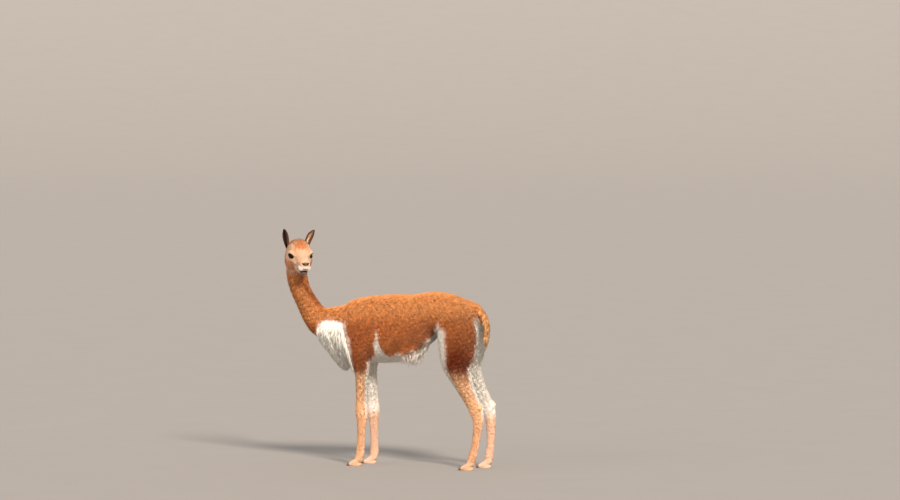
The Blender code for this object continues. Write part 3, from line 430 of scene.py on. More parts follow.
# %% [markdown]
# ## Openings of the face
# The lids leave an almond-shaped opening, the nostrils are slanting slits, and the mouth is a line
# that rises a little at its corners. Each is a small function of its own, because the colours and
# the hair need them again: bare dark skin shows there, with painted shade around the eyes and a
# painted shadow under the upper lip along the mouth, and no hair grows.

# %% Lids, nostrils and mouth


def in_head(p):
    """Points of the body in the head's own frame."""
    return (p - HEAD_ORIGIN) @ HEAD_TURN


def to_body(q):
    """Points of the head's frame in the tables' coordinates."""
    return q @ HEAD_TURN.T + HEAD_ORIGIN


def eye_place(side):
    """Middle of the eyeball in the head's frame. side is 1 for the animal's left, -1 for its right."""
    return EYE_PLACE * (1, side, 1)


def bell(*parts, power=2):
    """1 where all parts are 0, falling to 0 around: e to the power of minus the sum of their powers."""
    return np.exp(-sum(part**power for part in parts))


def lid_aperture(q, side):
    """Below 1 inside an eye's almond opening: (|wide|^1.7 + |high|^1.7)^(1/1.7)."""
    looks = EYE_LOOKS * (1, side, 1)
    forward = unit(np.cross(np.cross(looks, EYE_SLANT), looks))
    away = q - eye_place(side)
    wide = away @ forward / EYE_OPENING[0]
    high = away @ np.cross(looks, forward) / EYE_OPENING[1]
    return np.where(away @ looks > 0, (np.abs(wide) ** 1.7 + np.abs(high) ** 1.7) ** (1 / 1.7), 4.0)


def nostril_ratio(q, side):
    """Below 1 inside the slit of a nostril, an ellipsoid that leans outward at its top."""
    middle, (deep, wide, long) = NOSTRIL
    inward = unit((0.85, side * 0.42, 0.25))
    upward = unit(np.cross(np.cross(inward, (-0.2, side * 0.75, 0.65)), inward))
    away = q - np.multiply(middle, (1, side, 1))
    parts = away @ inward / deep, away @ np.cross(inward, upward) / wide, away @ upward / long
    return np.sqrt(sum(part**2 for part in parts))


def mouth_height(q):
    """Height of the mouth line in the head's frame: it rises a little towards its corners."""
    return -0.0565 + 0.006 * np.clip((0.104 - q[:, 0]) / 0.045, 0, 1) ** 2


def head_distance(p):
    """The whole head. A groove is a bell curve added to the distance."""
    q = in_head(p)
    d = joined_distance(HEAD_LUMPS, q)
    for side in (1, -1):
        depth = np.linalg.norm(q - eye_place(side), axis=1) - EYE_RADIUS
        d = np.maximum(d, -np.maximum((lid_aperture(q, side) - 1) * EYE_OPENING[1], -0.012 - depth))
        d = np.maximum(d, -(nostril_ratio(q, side) - 1) * NOSTRIL[1][1])
    x, z = q[:, 0], q[:, 2]
    along_mouth = np.clip((x - 0.054) / 0.014, 0, 1) * (x < 0.13)
    d = d + MOUTH_DEPTH * along_mouth * bell((z - mouth_height(q)) / 0.0030)
    cleft = bell(q[:, 1] / 0.0016) * np.clip((x - 0.100) / 0.008, 0, 1)
    return d + CLEFT_DEPTH * cleft * np.clip((-0.022 - z) / 0.006, 0, 1) * (z > mouth_height(q))


# %% [markdown]
# ## How deep the wool is
# The solids reach to the tips of the coat, so the skin lies inside them by the coat's depth: 10 mm on
# the barrel, 1 to 2 mm on the cannons, and less than a millimetre on the lips. The same tables give
# the length and width of the tufts that grow there.

# %% Depth, length and width of the coat
HEIGHTS = (0.0, 0.06, 0.20, 0.35, 0.50, 0.62)
BODY_COAT = (  # depth, length and width at those heights
    (0.0006, 0.0012, 0.0018, 0.0035, 0.0070, 0.0100),
    (0.0060, 0.0090, 0.0110, 0.0160, 0.0220, 0.0270),
    (0.0015, 0.0018, 0.0021, 0.0025, 0.0028, 0.0030),
)
HEAD_PLACES = (-0.07, -0.02, 0.03, 0.07, 0.12)
HEAD_COAT = (  # the same at those distances ahead of the eyes
    (0.0100, 0.0080, 0.0028, 0.0014, 0.0006),
    (0.0230, 0.0180, 0.0100, 0.0070, 0.0042),
    (0.0028, 0.0023, 0.0017, 0.0014, 0.0012),
)
SKULL_BASE = (np.array((-0.577, 0.0, 0.973)), unit((0.18, -0.24, 1.0)))


def head_share(p):
    """0 on the neck, 1 on the head, eased over 4 cm at the base of the skull."""
    return eased(((p - SKULL_BASE[0]) @ SKULL_BASE[1] + 0.012) / 0.04) * (p[:, 2] > 0.93)


def coat(p, k):
    """Entry k of the coat's tables at p: 0 depth, 1 length, 2 width."""
    share = head_share(p)
    on_head = np.interp(in_head(p)[:, 0], HEAD_PLACES, HEAD_COAT[k])
    return share * on_head + (1 - share) * np.interp(p[:, 2], HEIGHTS, BODY_COAT[k])


def near_eyes(p):
    """0 up to 4 mm from the nearer eyeball, rising to 1 at 16 mm."""
    q = in_head(p)
    gaps = [np.linalg.norm(q - eye_place(side), axis=1) - EYE_RADIUS for side in (1, -1)]
    return eased((np.minimum(*gaps) - 0.004) / 0.012)


def skin_distance(p):
    """The skin of everything but the head: the body's field moved inward by the coat's depth."""
    return joined_distance(BODY_SHAPES, p) + np.interp(p[:, 2], HEIGHTS, BODY_COAT[0])


def head_skin_distance(p):
    """The head flowing into the neck, moved inward by the coat's depth, which is least at the lids."""
    joined = smooth_min(joined_distance(TRUNK_SHAPES, p), head_distance(p), 0.012)
    return joined + coat(p, 0) * (0.12 + 0.88 * near_eyes(p))


# %% [markdown]
# ## From field to mesh
# The field is sampled once on a block of points. Each small cube that the surface crosses gives one
# point, the mean of the crossings on its edges, and each crossed edge gives a four-sided face. The
# same samples answer later where the surface is and which way it faces, so tufts cost little. The
# head and the lower legs are sampled finer than the trunk.

# %% Sampled blocks and nets
CORNERS = np.array(list(itertools.product((0, 1), repeat=3)))


class Block:
    def __init__(self, distance, low, high, step):
        self.low, self.step = np.array(low, float), step
        axes = [np.arange(a, b + step, step) for a, b in zip(low, high)]
        points = np.stack(np.meshgrid(*axes, indexing="ij"), axis=-1)
        self.d = distance(points.reshape(-1, 3)).reshape(points.shape[:3])
        self.high = self.low + step * (np.array(self.d.shape) - 1)

    def covers(self, p):
        """Whether each point lies in the block."""
        return ((p > self.low + 2 * self.step) & (p < self.high - 2 * self.step)).all(axis=1)

    def value(self, p):
        """The distance at p: the mean of its cube's corners, weighted by nearness along each axis."""
        place = np.clip((p - self.low) / self.step, 0, np.array(self.d.shape) - 1.001)
        whole = place.astype(int)
        part = place - whole
        total = np.zeros(len(p))
        for corner in CORNERS:
            weight = np.prod(np.where(corner, part, 1 - part), axis=1)
            total += weight * self.d[tuple((whole + corner).T)]
        return total


def split_patterns():
    """For each way the 8 corners of a cube lie inside or outside, whether either side falls apart."""
    split = np.zeros(256, bool)
    for pattern in range(256):
        inside = [bool(pattern >> k & 1) for k in range(8)]
        for side in (True, False):
            members = [k for k in range(8) if inside[k] is side]
            reached = set(members[:1])
            for _ in members:
                reached |= {
                    k for k in members if any(np.abs(CORNERS[k] - CORNERS[m]).sum() == 1 for m in reached)
                }
            split[pattern] |= len(reached) < len(members)
    return split


SPLIT = split_patterns()


def corner_views(grid):
    """The grid's values at each of the 8 corners of all its cubes."""
    a, b, c = (n - 1 for n in grid.shape)
    return [grid[i : i + a, j : j + b, k : k + c] for i, j, k in CORNERS]


def closed_up(d, small):
    """The distances with cubes filled where the surface would touch itself."""
    while True:
        code = sum((view < 0).astype(int) << k for k, view in enumerate(corner_views(d)))
        torn = np.argwhere(SPLIT[code])
        if not len(torn):
            return d
        for corner in CORNERS:
            place = tuple((torn + corner).T)
            d[place] = np.minimum(d[place], -small)


def netted(block):
    """Points and four-sided faces of the surface where the block's distance is 0, closed at its sides."""
    step = block.step
    d = block.d.copy()
    shell = np.ones(d.shape, bool)
    shell[1:-1, 1:-1, 1:-1] = False
    d[shell] = np.maximum(d[shell], step * 0.5)
    d[np.abs(d) < step * 0.02] = step * 0.02
    d = closed_up(d, step * 0.1)
    inside = d < 0
    count = sum(view.astype(int) for view in corner_views(inside))
    cells = np.argwhere((count > 0) & (count < 8))
    number = np.full(count.shape, -1)
    number[tuple(cells.T)] = np.arange(len(cells))
    at_corner = np.stack([d[tuple((cells + c).T)] for c in CORNERS], axis=1)
    total, crossings = np.zeros((len(cells), 3)), np.zeros(len(cells))
    for i, j in itertools.combinations(range(8), 2):
        if np.abs(CORNERS[i] - CORNERS[j]).sum() != 1:
            continue
        a, b = at_corner[:, i], at_corner[:, j]
        crossed = (a < 0) != (b < 0)
        t = np.where(crossed, a / np.where(crossed, a - b, 1), 0)
        total += crossed[:, None] * (CORNERS[i] + t[:, None] * (CORNERS[j] - CORNERS[i]))
        crossings += crossed
    points = block.low + (cells + total / crossings[:, None]) * step
    faces = []
    for axis in range(3):
        others = [k for k in range(3) if k != axis]
        here, there = [slice(None)] * 3, [slice(None)] * 3
        here[axis], there[axis] = slice(0, -1), slice(1, None)
        crossed = np.argwhere(inside[tuple(here)] != inside[tuple(there)])
        crossed = crossed[(crossed[:, others] > 0).all(axis=1)]
        outward = inside[tuple(crossed.T)]
        ring = []
        for back in ((0, 0), (1, 0), (1, 1), (0, 1)):
            cell = crossed.copy()
            cell[:, others[0]] -= back[0]
            cell[:, others[1]] -= back[1]
            ring.append(number[tuple(cell.T)])
        quads = np.stack(ring, axis=1)
        turned = outward if axis != 1 else ~outward
        quads[~turned] = quads[~turned][:, ::-1]
        faces.append(quads)
    return points, np.vstack(faces)


# %% [markdown]
# ## From arrays to objects
# Blender takes whole arrays of points and faces with foreach_set, which is far quicker than adding
# them one by one. Every finished piece keeps its object at the origin and rides on the one body.

# %% Meshes from arrays
def make_mesh(name, points, faces):
    """A mesh object whose faces all have the same number of corners, moved to its place."""
    points, faces = np.asarray(points) + MOVE, np.asarray(faces)
    mesh = bpy.data.meshes.new(name)
    mesh.vertices.add(len(points))
    mesh.vertices.foreach_set("co", points.astype(np.float32).ravel())
    mesh.loops.add(faces.size)
    mesh.loops.foreach_set("vertex_index", faces.astype(np.int32).ravel())
    mesh.polygons.add(len(faces))
    mesh.polygons.foreach_set("loop_start", np.arange(0, faces.size, faces.shape[1], dtype=np.int32))
    mesh.update(calc_edges=True)
    mesh.validate()
    obj = bpy.data.objects.new(name, mesh)
    bpy.context.scene.collection.objects.link(obj)
    return obj


def places_of(obj):
    """The vertices of a mesh object as an array, back in the tables' coordinates."""
    flat = np.empty(len(obj.data.vertices) * 3, np.float32)
    obj.data.vertices.foreach_get("co", flat)
    return flat.reshape(-1, 3).astype(float) - MOVE


def stain(obj, name, colours):
    """Stores one colour for each vertex under a name that materials read."""
    layer = obj.data.color_attributes.new(name, "FLOAT_COLOR", "POINT")
    rgba = np.ones((len(colours), 4), np.float32)
    rgba[:, :3] = colours
    layer.data.foreach_set("color", rgba.ravel())


def finished(obj, material):
    """Rides the piece on the one body, gives it its material and smooths its shading."""
    obj.data.materials.clear()
    obj.data.materials.append(material)
    obj.data.shade_smooth()
    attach(obj, "root")
    faces = obj.data.polygons
    corners = np.empty(len(faces), np.int32)
    faces.foreach_get("loop_total", corners)
    print(obj.name, int((corners - 2).sum()), "triangles")
    return obj


# %% [markdown]
# ## Sampling
# The steps are 6.5 mm on the trunk, 3.1 mm on the lower legs and 2.1 mm on the head, where the lids
# and lips need them.

# %% Sample the body
TRUNK_BLOCK = Block(skin_distance, (-0.66, -0.17, 0.325), (0.52, 0.17, 0.958), 0.0065)
HEAD_BLOCK = Block(
    head_skin_distance, HEAD_ORIGIN + (-0.115, -0.140, -0.104), HEAD_ORIGIN + (0.130, 0.125, 0.105), 0.0021
)
LEG_BLOCKS = {}
for name, shapes in LEG_SHAPES.items():
    middle = shapes[0].rows[shapes[0].rows[:, 2] < 0.34]
    low = middle[:, :3].min(axis=0) - (0.085, 0.045, 0)
    high = middle[:, :3].max(axis=0) + (0.060, 0.045, 0)
    low[2], high[2] = -0.012, 0.347
    LEG_BLOCKS[name] = Block(skin_distance, low, high, 0.0031)
BLOCKS = [HEAD_BLOCK, *LEG_BLOCKS.values()]
print("points sampled", TRUNK_BLOCK.d.size + sum(block.d.size for block in BLOCKS))


def surface(p):
    """Distance from the skin at p, from the finest block that covers it."""
    result = TRUNK_BLOCK.value(p)
    for block in BLOCKS:
        inside = block.covers(p)
        if inside.any():
            result[inside] = block.value(p[inside])
    return result


def facing_of(p, step=0.0015):
    """The way the skin faces near p: the direction in which its distance grows."""
    return unit(np.stack([surface(p + step * e) - surface(p - step * e) for e in np.eye(3)], axis=1))


# %% [markdown]
# ## Markings
# A vicuna is fawn to rusty orange above and white below: a white breast, belly, inner legs and
# backs of the thighs, a tan shin, a pale face under an orange forehead, white lips, and painted shade on the
# chin under the mouth.
# One function gives the colour at any point, so skin and coat agree.

# %% Colours


def linear(code):
    """An sRGB hex colour as linear red, green and blue."""
    c = np.array([int(code[i : i + 2], 16) for i in (1, 3, 5)]) / 255
    return np.where(c <= 0.04045, c / 12.92, ((c + 0.055) / 1.055) ** 2.4)


FAWN = linear("#c47641")
# The back's colour: a paler fawn, also painted lighter as where the light from above falls.
BACK = linear("#d69258")
RUST = linear("#863608")
NECK_TAN = linear("#dd9256")
TAN = linear("#dba67c")
LEG_TAN = linear("#f2c093")
CREAM = linear("#e8c1a0")
WHITE = linear("#ffeee4")
FOREHEAD = linear("#e48d4b")
PEACH = linear("#e8a46c")
TAIL_ORANGE = linear("#f8b67a")
DARK_SKIN = linear("#2b211d")
LIP_GREY = linear("#7d7372")
# painted shade under the mouth, on the lower lip and chin
PAINTED_CHIN_SHADE = linear("#3d3331")
EAR_BROWN = linear("#3a2214")
EAR_BACK = linear("#6b4228")


def mixed(a, b, share):
    """Colour a with a share of colour b, row by row. Either may be one colour for all rows."""
    return a + np.clip(share, 0, 1)[:, None] * (b - a)


def ripple(p, length, seed, waves=6):
    """Smooth noise from -1 to 1: a mean of sine waves in random directions, about length apart."""
    rng = np.random.default_rng(seed)
    ways = unit(rng.normal(0, 1, (waves, 3))) * rng.uniform(0.7, 1.4, (waves, 1))
    phases = rng.uniform(0, 2 * math.pi, waves)
    return np.sin(2 * math.pi / length * (p @ ways.T) + phases).mean(axis=1) * 1.6


# %% [markdown]
# ## Where the colours lie
# Each patch is a product of eased steps and bell curves of the place and of the way the skin faces,
# so that an inner leg is white and its outer side tan. A ripple of 2 to 5 cm moves the edges, because
# hair never ends in a ruled line.

# %% Where each colour lies
BREAST_REAR = (  # heights, and where the white ends behind
    (0.50, 0.592, 0.663, 0.727, 0.76),
    (-0.205, -0.214, -0.238, -0.2575, -0.275),
)
BELLY_EDGE = (  # places along the body, and how high the white reaches
    (-0.11, -0.06, 0.056, 0.12, 0.155, 0.188, 0.221, 0.243),
    (0.555, 0.565, 0.578, 0.598, 0.626, 0.666, 0.706, 0.74),
)


def white_share(p, facing):
    """How white the coat is: breast, belly, inner legs, the wedge behind the elbow and the buttocks."""
    x, y, z = p.T
    edge = 0.010 * ripple(p, 0.05, 3) + 0.006 * ripple(p, 0.018, 4)
    rear = np.interp(z, *BREAST_REAR)
    front = np.interp(z, (0.60, 0.68, 0.74), (-0.60, -0.47, -0.432))
    breast = eased((rear - x + edge) / 0.024) * eased((x - front + edge) / 0.030)
    breast = breast * eased((0.746 - z + edge) / 0.040) * (z > 0.47)
    below = np.interp(x, *BELLY_EDGE) + 0.010 - z
    belly = eased((below + edge * bell(below / 0.014)) / 0.014) * eased((0.262 - x) / 0.02)
    belly = belly * (x > -0.125)
    wedge_middle = np.interp(z, (0.515, 0.60, 0.685), (-0.078, -0.088, -0.088))
    wedge_half = np.interp(z, (0.515, 0.60, 0.685, 0.70), (0.055, 0.024, 0.008, 0.0))
    wedge = eased((wedge_half - np.abs(x - wedge_middle) + 0.5 * edge) / 0.010)
    outward = facing[:, 1] * np.sign(y)
    rearward = np.maximum(facing[:, 0] - 0.70, facing[:, 0] * 0.4 - outward - 0.15)
    buttock = eased(rearward / 0.18) * eased((0.785 - z) / 0.05) * eased((z - 0.33) / 0.06) * (x > 0.38)
    under = eased((-0.62 - facing[:, 2]) / 0.2) * (x > -0.27) * (x < 0.34) * (z > 0.47) * (np.abs(y) < 0.11)
    thigh = eased((-facing[:, 0] - 0.22) / 0.25) * (x > 0.19) * eased((0.73 - z) / 0.02) * (z > 0.40)
    return np.max([breast, belly, wedge, buttock, thigh, under], axis=0) * (1 - head_share(p))


def leg_colours(p, facing, colours):
    """Fawn running down the outer and front faces to tan, and white on the inner faces."""
    x, y, z = p.T
    down = eased((0.60 - z) / 0.10)
    outward = facing[:, 1] * np.sign(y)
    hind = x > 0.12
    tan = mixed(LEG_TAN, TAN, eased((0.32 - z) / 0.14))
    shade = mixed(0.55 * FAWN + 0.45 * RUST, tan, eased((0.505 - z) / 0.045))
    shade = np.where(hind[:, None], mixed(RUST, tan, eased((0.53 - z) / 0.10)), shade)
    shade = mixed(shade, CREAM, eased((0.10 - z) / 0.08) * 0.6)
    inner = eased((0.18 - outward + 0.12 * ripple(p, 0.03, 8)) / 0.30)
    behind = eased((facing[:, 0] - 0.55) / 0.3) * (hind | (z < 0.56)) * eased((z - 0.05) / 0.03)
    pale = np.maximum(inner, behind * 0.9) * (0.25 + 0.75 * eased((z - 0.235) / 0.06))
    return mixed(colours, mixed(shade, WHITE, pale), down)


def head_colours(p):
    """Orange forehead, pale brows, cream face, fawn cheeks, white lips, and painted shade on the chin under
    the mouth.
    """
    q = in_head(p)
    x, y, z = q.T
    side = np.abs(y)
    noise = 0.004 * ripple(p, 0.02, 9)
    colours = mixed(NECK_TAN, PEACH, eased((x + 0.045 + noise) / 0.030))
    temple = eased((side - 0.026 + noise) / 0.020) * eased((x + 0.030) / 0.020)
    bridge = eased((x - 0.028 + noise) / 0.020)
    colours = mixed(colours, CREAM, np.maximum(temple, bridge) * 0.95)
    blaze = bell(side / 0.022, (z - 0.056 + noise) / 0.019, power=4) * (x > -0.02)
    colours = mixed(colours, FOREHEAD, np.maximum(blaze, 0.5 * eased((z - 0.062) / 0.012)))
    cheek = eased((-0.012 - z + noise) / 0.016) * eased((0.062 - x + noise) / 0.03)
    colours = mixed(colours, NECK_TAN, cheek * eased((side - 0.020) / 0.014) * 0.75)
    patch = bell((x - 0.047) / 0.014, (side - 0.036) / 0.014, (z + 0.046) / 0.011)
    colours = mixed(colours, WHITE, patch * 0.7)
    tear = bell((x - 0.055) / 0.010, (side - 0.0235) / 0.006, (z + 0.0125) / 0.010)
    colours = mixed(colours, RUST * 0.5, tear * 0.85)
    lips = eased((x - 0.080 + noise) / 0.018) * eased((-0.024 - z) / 0.008)
    colours = mixed(colours, WHITE, lips)
    grey = bell((z + 0.043) / 0.007) * eased((0.016 - side) / 0.008) * (x > 0.09)
    colours = mixed(colours, LIP_GREY, grey * 0.7)
    # Painted shade on the lower lip and chin, under the mouth.
    chin_shade = eased((mouth_height(q) + 0.002 - z) / 0.003) * eased((x - 0.078 + noise) / 0.012)
    colours = mixed(colours, PAINTED_CHIN_SHADE, chin_shade * 0.9)
    throat = eased((-0.060 - z) / 0.014) * eased((0.075 - x) / 0.02)
    return mixed(colours, WHITE, throat * 0.5)


def dark_share(p):
    """How much bare dark skin shows: rims and corners of the lids, with painted shade of brow and lashes,
    the nose between the nostrils, and the mouth, widened by painted shadow under the upper lip.
    """
    q = in_head(p)
    x, y, z = q.T
    shares = np.zeros(len(p))
    for side in (1, -1):
        gap = np.linalg.norm(q - eye_place(side), axis=1) - EYE_RADIUS
        # Dark lid rims, darkened further by painted shade of the brow and lashes.
        rim = eased((1.50 - lid_aperture(q, side)) / 0.30) * (gap < 0.010)
        hole = eased((1.50 - nostril_ratio(q, side)) / 0.35)
        shares = np.max([shares, rim, hole], axis=0)
        # Dark spots at both corners of each eye: dark skin and painted shade from brow and lashes.
        forward = unit((0.60, -side * 0.50, -0.14))
        for corner in (eye_place(side) + forward * 0.0225, eye_place(side) - forward * 0.0225):
            away = np.linalg.norm(q - corner, axis=1)
            shares = np.maximum(shares, 0.85 * bell(away / 0.0085, power=4))
    # The dark parting of the lips, widened by painted shadow under the upper lip.
    line = bell((z - mouth_height(q)) / 0.0042) * eased((x - 0.050) / 0.012)
    nose = eased((0.0165 - np.abs(y)) / 0.006) * eased((x - 0.100) / 0.004)
    nose = nose * bell((z + 0.015) / 0.010, power=4)
    groove = bell(y / 0.0016) * eased((x - 0.100) / 0.008) * (z < -0.02)
    return np.max([shares, line, 0.92 * nose, 0.6 * groove], axis=0) * (head_share(p) > 0.5)


def markings(p, facing):
    """The colour of the coat at p."""
    x, y, z = p.T
    # Painted light on top: the back is lighter than the flanks, as a paler coat and as where the light from
    # above falls.
    colours = mixed(FAWN, BACK, eased((z - np.interp(x, (-0.30, -0.12), (0.68, 0.71))) / 0.10))
    low_thigh = bell((x - 0.36) / 0.07, (z - 0.55) / 0.10)
    colours = mixed(colours, RUST, low_thigh * 1.1)
    shoulder = bell((x + 0.20) / 0.07) * eased((0.76 - z) / 0.08)
    colours = mixed(colours, RUST, shoulder * 0.35)
    up_neck = eased((-0.38 - x) / 0.08) * eased((z - 0.70) / 0.05)
    colours = mixed(colours, NECK_TAN, up_neck * 0.9)
    # Painted shade: a rust band where the neck's wool faces backward, for the shade in a fold there.
    painted_neck_fold_shade = bell((facing[:, 0] - 0.80 + 0.08 * ripple(p, 0.06, 15)) / 0.11)
    colours = mixed(colours, RUST, up_neck * painted_neck_fold_shade * 0.6)
    colours = leg_colours(p, facing, colours)
    colours = mixed(colours, WHITE, white_share(p, facing))
    colours = mixed(colours, TAIL_ORANGE, eased((x - 0.452) / 0.012) * eased((z - 0.61) / 0.03))
    return colours * (1 - head_share(p))[:, None] + head_colours(p) * head_share(p)[:, None]


# %% [markdown]
# ## Materials
# Wool is a dull fibre with a soft sheen at grazing angles. The markings are stored in the meshes as
# one colour for each point, so that every material reads the same pattern, and noise with a scale in
# millimetres breaks it up. One helper adds a node, and one joins the nodes that all of them share.

# %% Helpers for nodes


def add_node(tree, kind, settings=None, links=None):
    """A node of that kind, with its properties or input values set and its inputs linked."""
    node = tree.nodes.new(kind)
    for key, value in (settings or {}).items():
        if isinstance(key, str) and hasattr(node, key):
            setattr(node, key, value)
        else:
            node.inputs[key].default_value = value
    for key, source in (links or {}).items():
        tree.links.new(source, node.inputs[key])
    return node


def new_material(name, settings=None):
    """A node material with only its Principled shader, set as given, and its output."""
    material = bpy.data.materials.new(name)
    material.use_nodes = True
    tree = material.node_tree
    tree.nodes.clear()
    shader = add_node(tree, "ShaderNodeBsdfPrincipled", settings)
    add_node(tree, "ShaderNodeOutputMaterial", None, {"Surface": shader.outputs[0]})
    return material, tree, shader


def speckled(tree, shader, grain, detail, dark, light):
    """Base colour: the stored markings times noise from dark to light, its spots grain metres apart."""
    markings_stored = add_node(tree, "ShaderNodeAttribute", {"attribute_name": "pelt"})
    place = add_node(tree, "ShaderNodeTexCoord")
    fineness = {"Scale": 1 / grain, "Detail": detail}
    spots = add_node(tree, "ShaderNodeTexNoise", fineness, {"Vector": place.outputs["Object"]})
    lightness = add_node(tree, "ShaderNodeMapRange", {3: dark, 4: light}, {0: spots.outputs["Fac"]})
    sources = {0: markings_stored.outputs["Color"], "Scale": lightness.outputs[0]}
    tinted = add_node(tree, "ShaderNodeVectorMath", {"operation": "SCALE"}, sources)
    tree.links.new(tinted.outputs[0], shader.inputs["Base Color"])
    return spots


# %% [markdown]
# ## Wool, hair and skin
# A fibre of wool is 12 thousandths of a millimetre thick, too fine to draw, so a tuft stands for
# very many of them. Its spots are as wide as a lock, about 1 cm. The long white hair is straighter
# and silkier, so it is a little less rough.

# %% Wool and hair


def wool(name, grain, depth, roughness, sheen):
    """Speckled colour with bump of the same spots, and a faint sheen of fibre ends at the edges."""
    fibre = {
        "Roughness": roughness,
        "Sheen Weight": sheen,
        "Sheen Roughness": 0.5,
        "Specular IOR Level": 0.15,
    }
    material, tree, shader = new_material(name, fibre)
    spots = speckled(tree, shader, grain, 3.0, 0.76, 1.22)
    relief = {"Strength": 0.5, "Distance": depth}
    bump = add_node(tree, "ShaderNodeBump", relief, {"Height": spots.outputs["Fac"]})
    tree.links.new(bump.outputs[0], shader.inputs["Normal"])
    return material


# Skin with hair too short to stand up: dull, with spots of 3.5 mm like the pores and hair roots.
SKIN_MATERIAL = wool("skin_under_short_hair", 0.0035, 0.0010, 0.75, 0.05)
# Fine wool, unwashed: the dullest of the three, without any shine from the front.
WOOL_MATERIAL = wool("vicuna_wool", 0.012, 0.0006, 0.9, 0.10)
# Coarse straight hair: smoother, so that it lights up a little along its edges.
HAIR_MATERIAL = wool("long_white_hair", 0.010, 0.0006, 0.65, 0.15)

# %% [markdown]
# ## Horn and eye
# Horn is grown in layers and scuffed by stones, so it has a half-dull shine. The eye is wet and
# smooth, and shows one sharp reflection of the key light on a nearly black ball.

# %% Horn and eye


def smooth_material(name, roughness, coat_weight, specular):
    """Stored colour, slightly mottled every 2 mm, on a smooth or waxy surface."""
    finish = {
        "Roughness": roughness,
        "Coat Weight": coat_weight,
        "Coat Roughness": 0.04,
        "Specular IOR Level": specular,
    }
    material, tree, shader = new_material(name, finish)
    speckled(tree, shader, 0.002, 2.0, 0.85, 1.15)
    return material


EYE_MATERIAL = smooth_material("moist_dark_eye", 0.08, 0.0, 0.12)
HORN_MATERIAL = smooth_material("dark_horn", 0.45, 0.1, 0.5)
print(len(bpy.data.materials), "materials for the animal")

# %% [markdown]
# ## One skin
# Trunk, head and lower legs are netted at three finenesses, overlap a little, and are fused by one
# Boolean, so that no seam shows.

# %% Skin
skin = make_mesh("skin", *netted(TRUNK_BLOCK))
others = bpy.data.collections.new("others")
bpy.context.scene.collection.children.link(others)
for block in BLOCKS:
    piece = make_mesh("fine", *netted(block))
    bpy.context.scene.collection.objects.unlink(piece)
    others.objects.link(piece)
fuse = skin.modifiers.new("Fuse", "BOOLEAN")
fuse.operation, fuse.operand_type, fuse.solver, fuse.collection = "UNION", "COLLECTION", "MANIFOLD", others
fused = bpy.data.meshes.new_from_object(skin.evaluated_get(bpy.context.evaluated_depsgraph_get()))
skin.modifiers.clear()
skin.data = fused
for piece in list(others.objects):
    bpy.data.objects.remove(piece)
bpy.data.collections.remove(others)

# %% [markdown]
# ## Colour of the skin
# The skin carries the same markings as the coat. Between tufts a dark coat lets little light through,
# and a white one lets most of it through, so the skin gets painted shade under deep fawn wool only. Lids,
# nostrils and mouth are bare and dark.

# %% Colour and place of the skin
# Painted shade at the foot of the coat: under and between fawn tufts it is darker than the middle, under
# white ones as light.
PALENESS = (0.22, 0.55)  # mean of red, green and blue of a fawn coat and of a white one
ROOT_LIGHT = (0.62, 1.0)  # how light the foot of the coat is there, next to its middle


def shaded_under_coat(p, colours):
    """Painted shade where the coat is deep, as in the gaps between tufts, and full colour where it is thin.
    """
    deep = eased((coat(p, 0) - 0.0015) / 0.006)
    under = np.interp(colours.mean(axis=1), PALENESS, ROOT_LIGHT)
    return colours * (1 - (1 - under) * deep)[:, None]


skin_points = places_of(skin)
skin_facing = facing_of(skin_points)
skin_colours = shaded_under_coat(skin_points, markings(skin_points, skin_facing))
# Bare dark skin, with painted shade around the eyes and painted shadow along the mouth.
skin_colours = mixed(skin_colours, DARK_SKIN, dark_share(skin_points))
stain(skin, "pelt", skin_colours)
finished(skin, SKIN_MATERIAL)
FLESH_NODES = ["head", "neck", "chest", "torso", "tail"]
for leg in ("fore_left", "fore_right"):
    FLESH_NODES += [f"{leg}_upper_leg", f"{leg}_shank", f"{leg}_foot"]
for leg in ("hind_left", "hind_right"):
    FLESH_NODES += [f"{leg}_thigh", f"{leg}_gaskin", f"{leg}_shank", f"{leg}_foot"]
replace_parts(skin, *FLESH_NODES)
print("skin replaces", len(FLESH_NODES), "solids")

# %% [markdown]
# ## Tufts
# A tuft is a flat three-sided blade, closed, and pointed at both ends. Its root is sunk in the skin,
# and it bends along the lie of the coat at a growing height. Tens of thousands are worked out at once
# as arrays. A short tuft has 6 triangles and a long lock 18, which keeps a whole coat within reach.
# First come the roots: random places on the skin's triangles, more on the larger ones.

# %% Roots on the skin
RNG = np.random.default_rng(11)
LOOK_SHARE = 1.0  # fewer tufts while trying things

skin.data.calc_loop_triangles()
triangles = np.empty(len(skin.data.loop_triangles) * 3, np.int32)
skin.data.loop_triangles.foreach_get("vertices", triangles)
TRIANGLES = skin_points[triangles.reshape(-1, 3)]
SIDES = TRIANGLES[:, 1:] - TRIANGLES[:, :1]
AREAS = np.linalg.norm(np.cross(SIDES[:, 0], SIDES[:, 1]), axis=1) / 2
MIDDLES = TRIANGLES.mean(axis=1)
MIDDLE_FACING = facing_of(MIDDLES)
print("skin area", round(float(AREAS.sum()), 3), "square metres")


def roots_on_skin(density):
    """Random places, with density roots for each square metre at each triangle's middle."""
    share = AREAS * density * LOOK_SHARE
    count = int(share.sum())
    chosen = RNG.choice(len(AREAS), count, p=share / share.sum())
    a, b = np.sort(RNG.uniform(0, 1, (2, count)), axis=0)
    weights = np.stack([a, b - a, 1 - b], axis=1)
    return np.einsum("ij,ijk->ik", weights, TRIANGLES[chosen])


# %% [markdown]
# ## The lie of the coat
# Hair lies the way water runs off the animal: back along the trunk and down its sides, down the neck
# and the legs, and from the nose up over the forehead. The ways of trunk, leg, neck and head are
# mixed by how much a point belongs to each, and then laid flat on the skin.

# %% The lie of the coat
NECK_ROOT = (np.array((-0.430, 0, 0.700)), unit((-0.80, 0, 0.60)))
neck_rows = np.array(NECK)
NECK_SLOPES = np.gradient(neck_rows[:, :2], axis=0)


def neck_share(p):
    """0 on the trunk, 1 up the neck, eased over 10 cm at its root."""
    return eased(((p - NECK_ROOT[0]) @ NECK_ROOT[1] + 0.05) / 0.10)


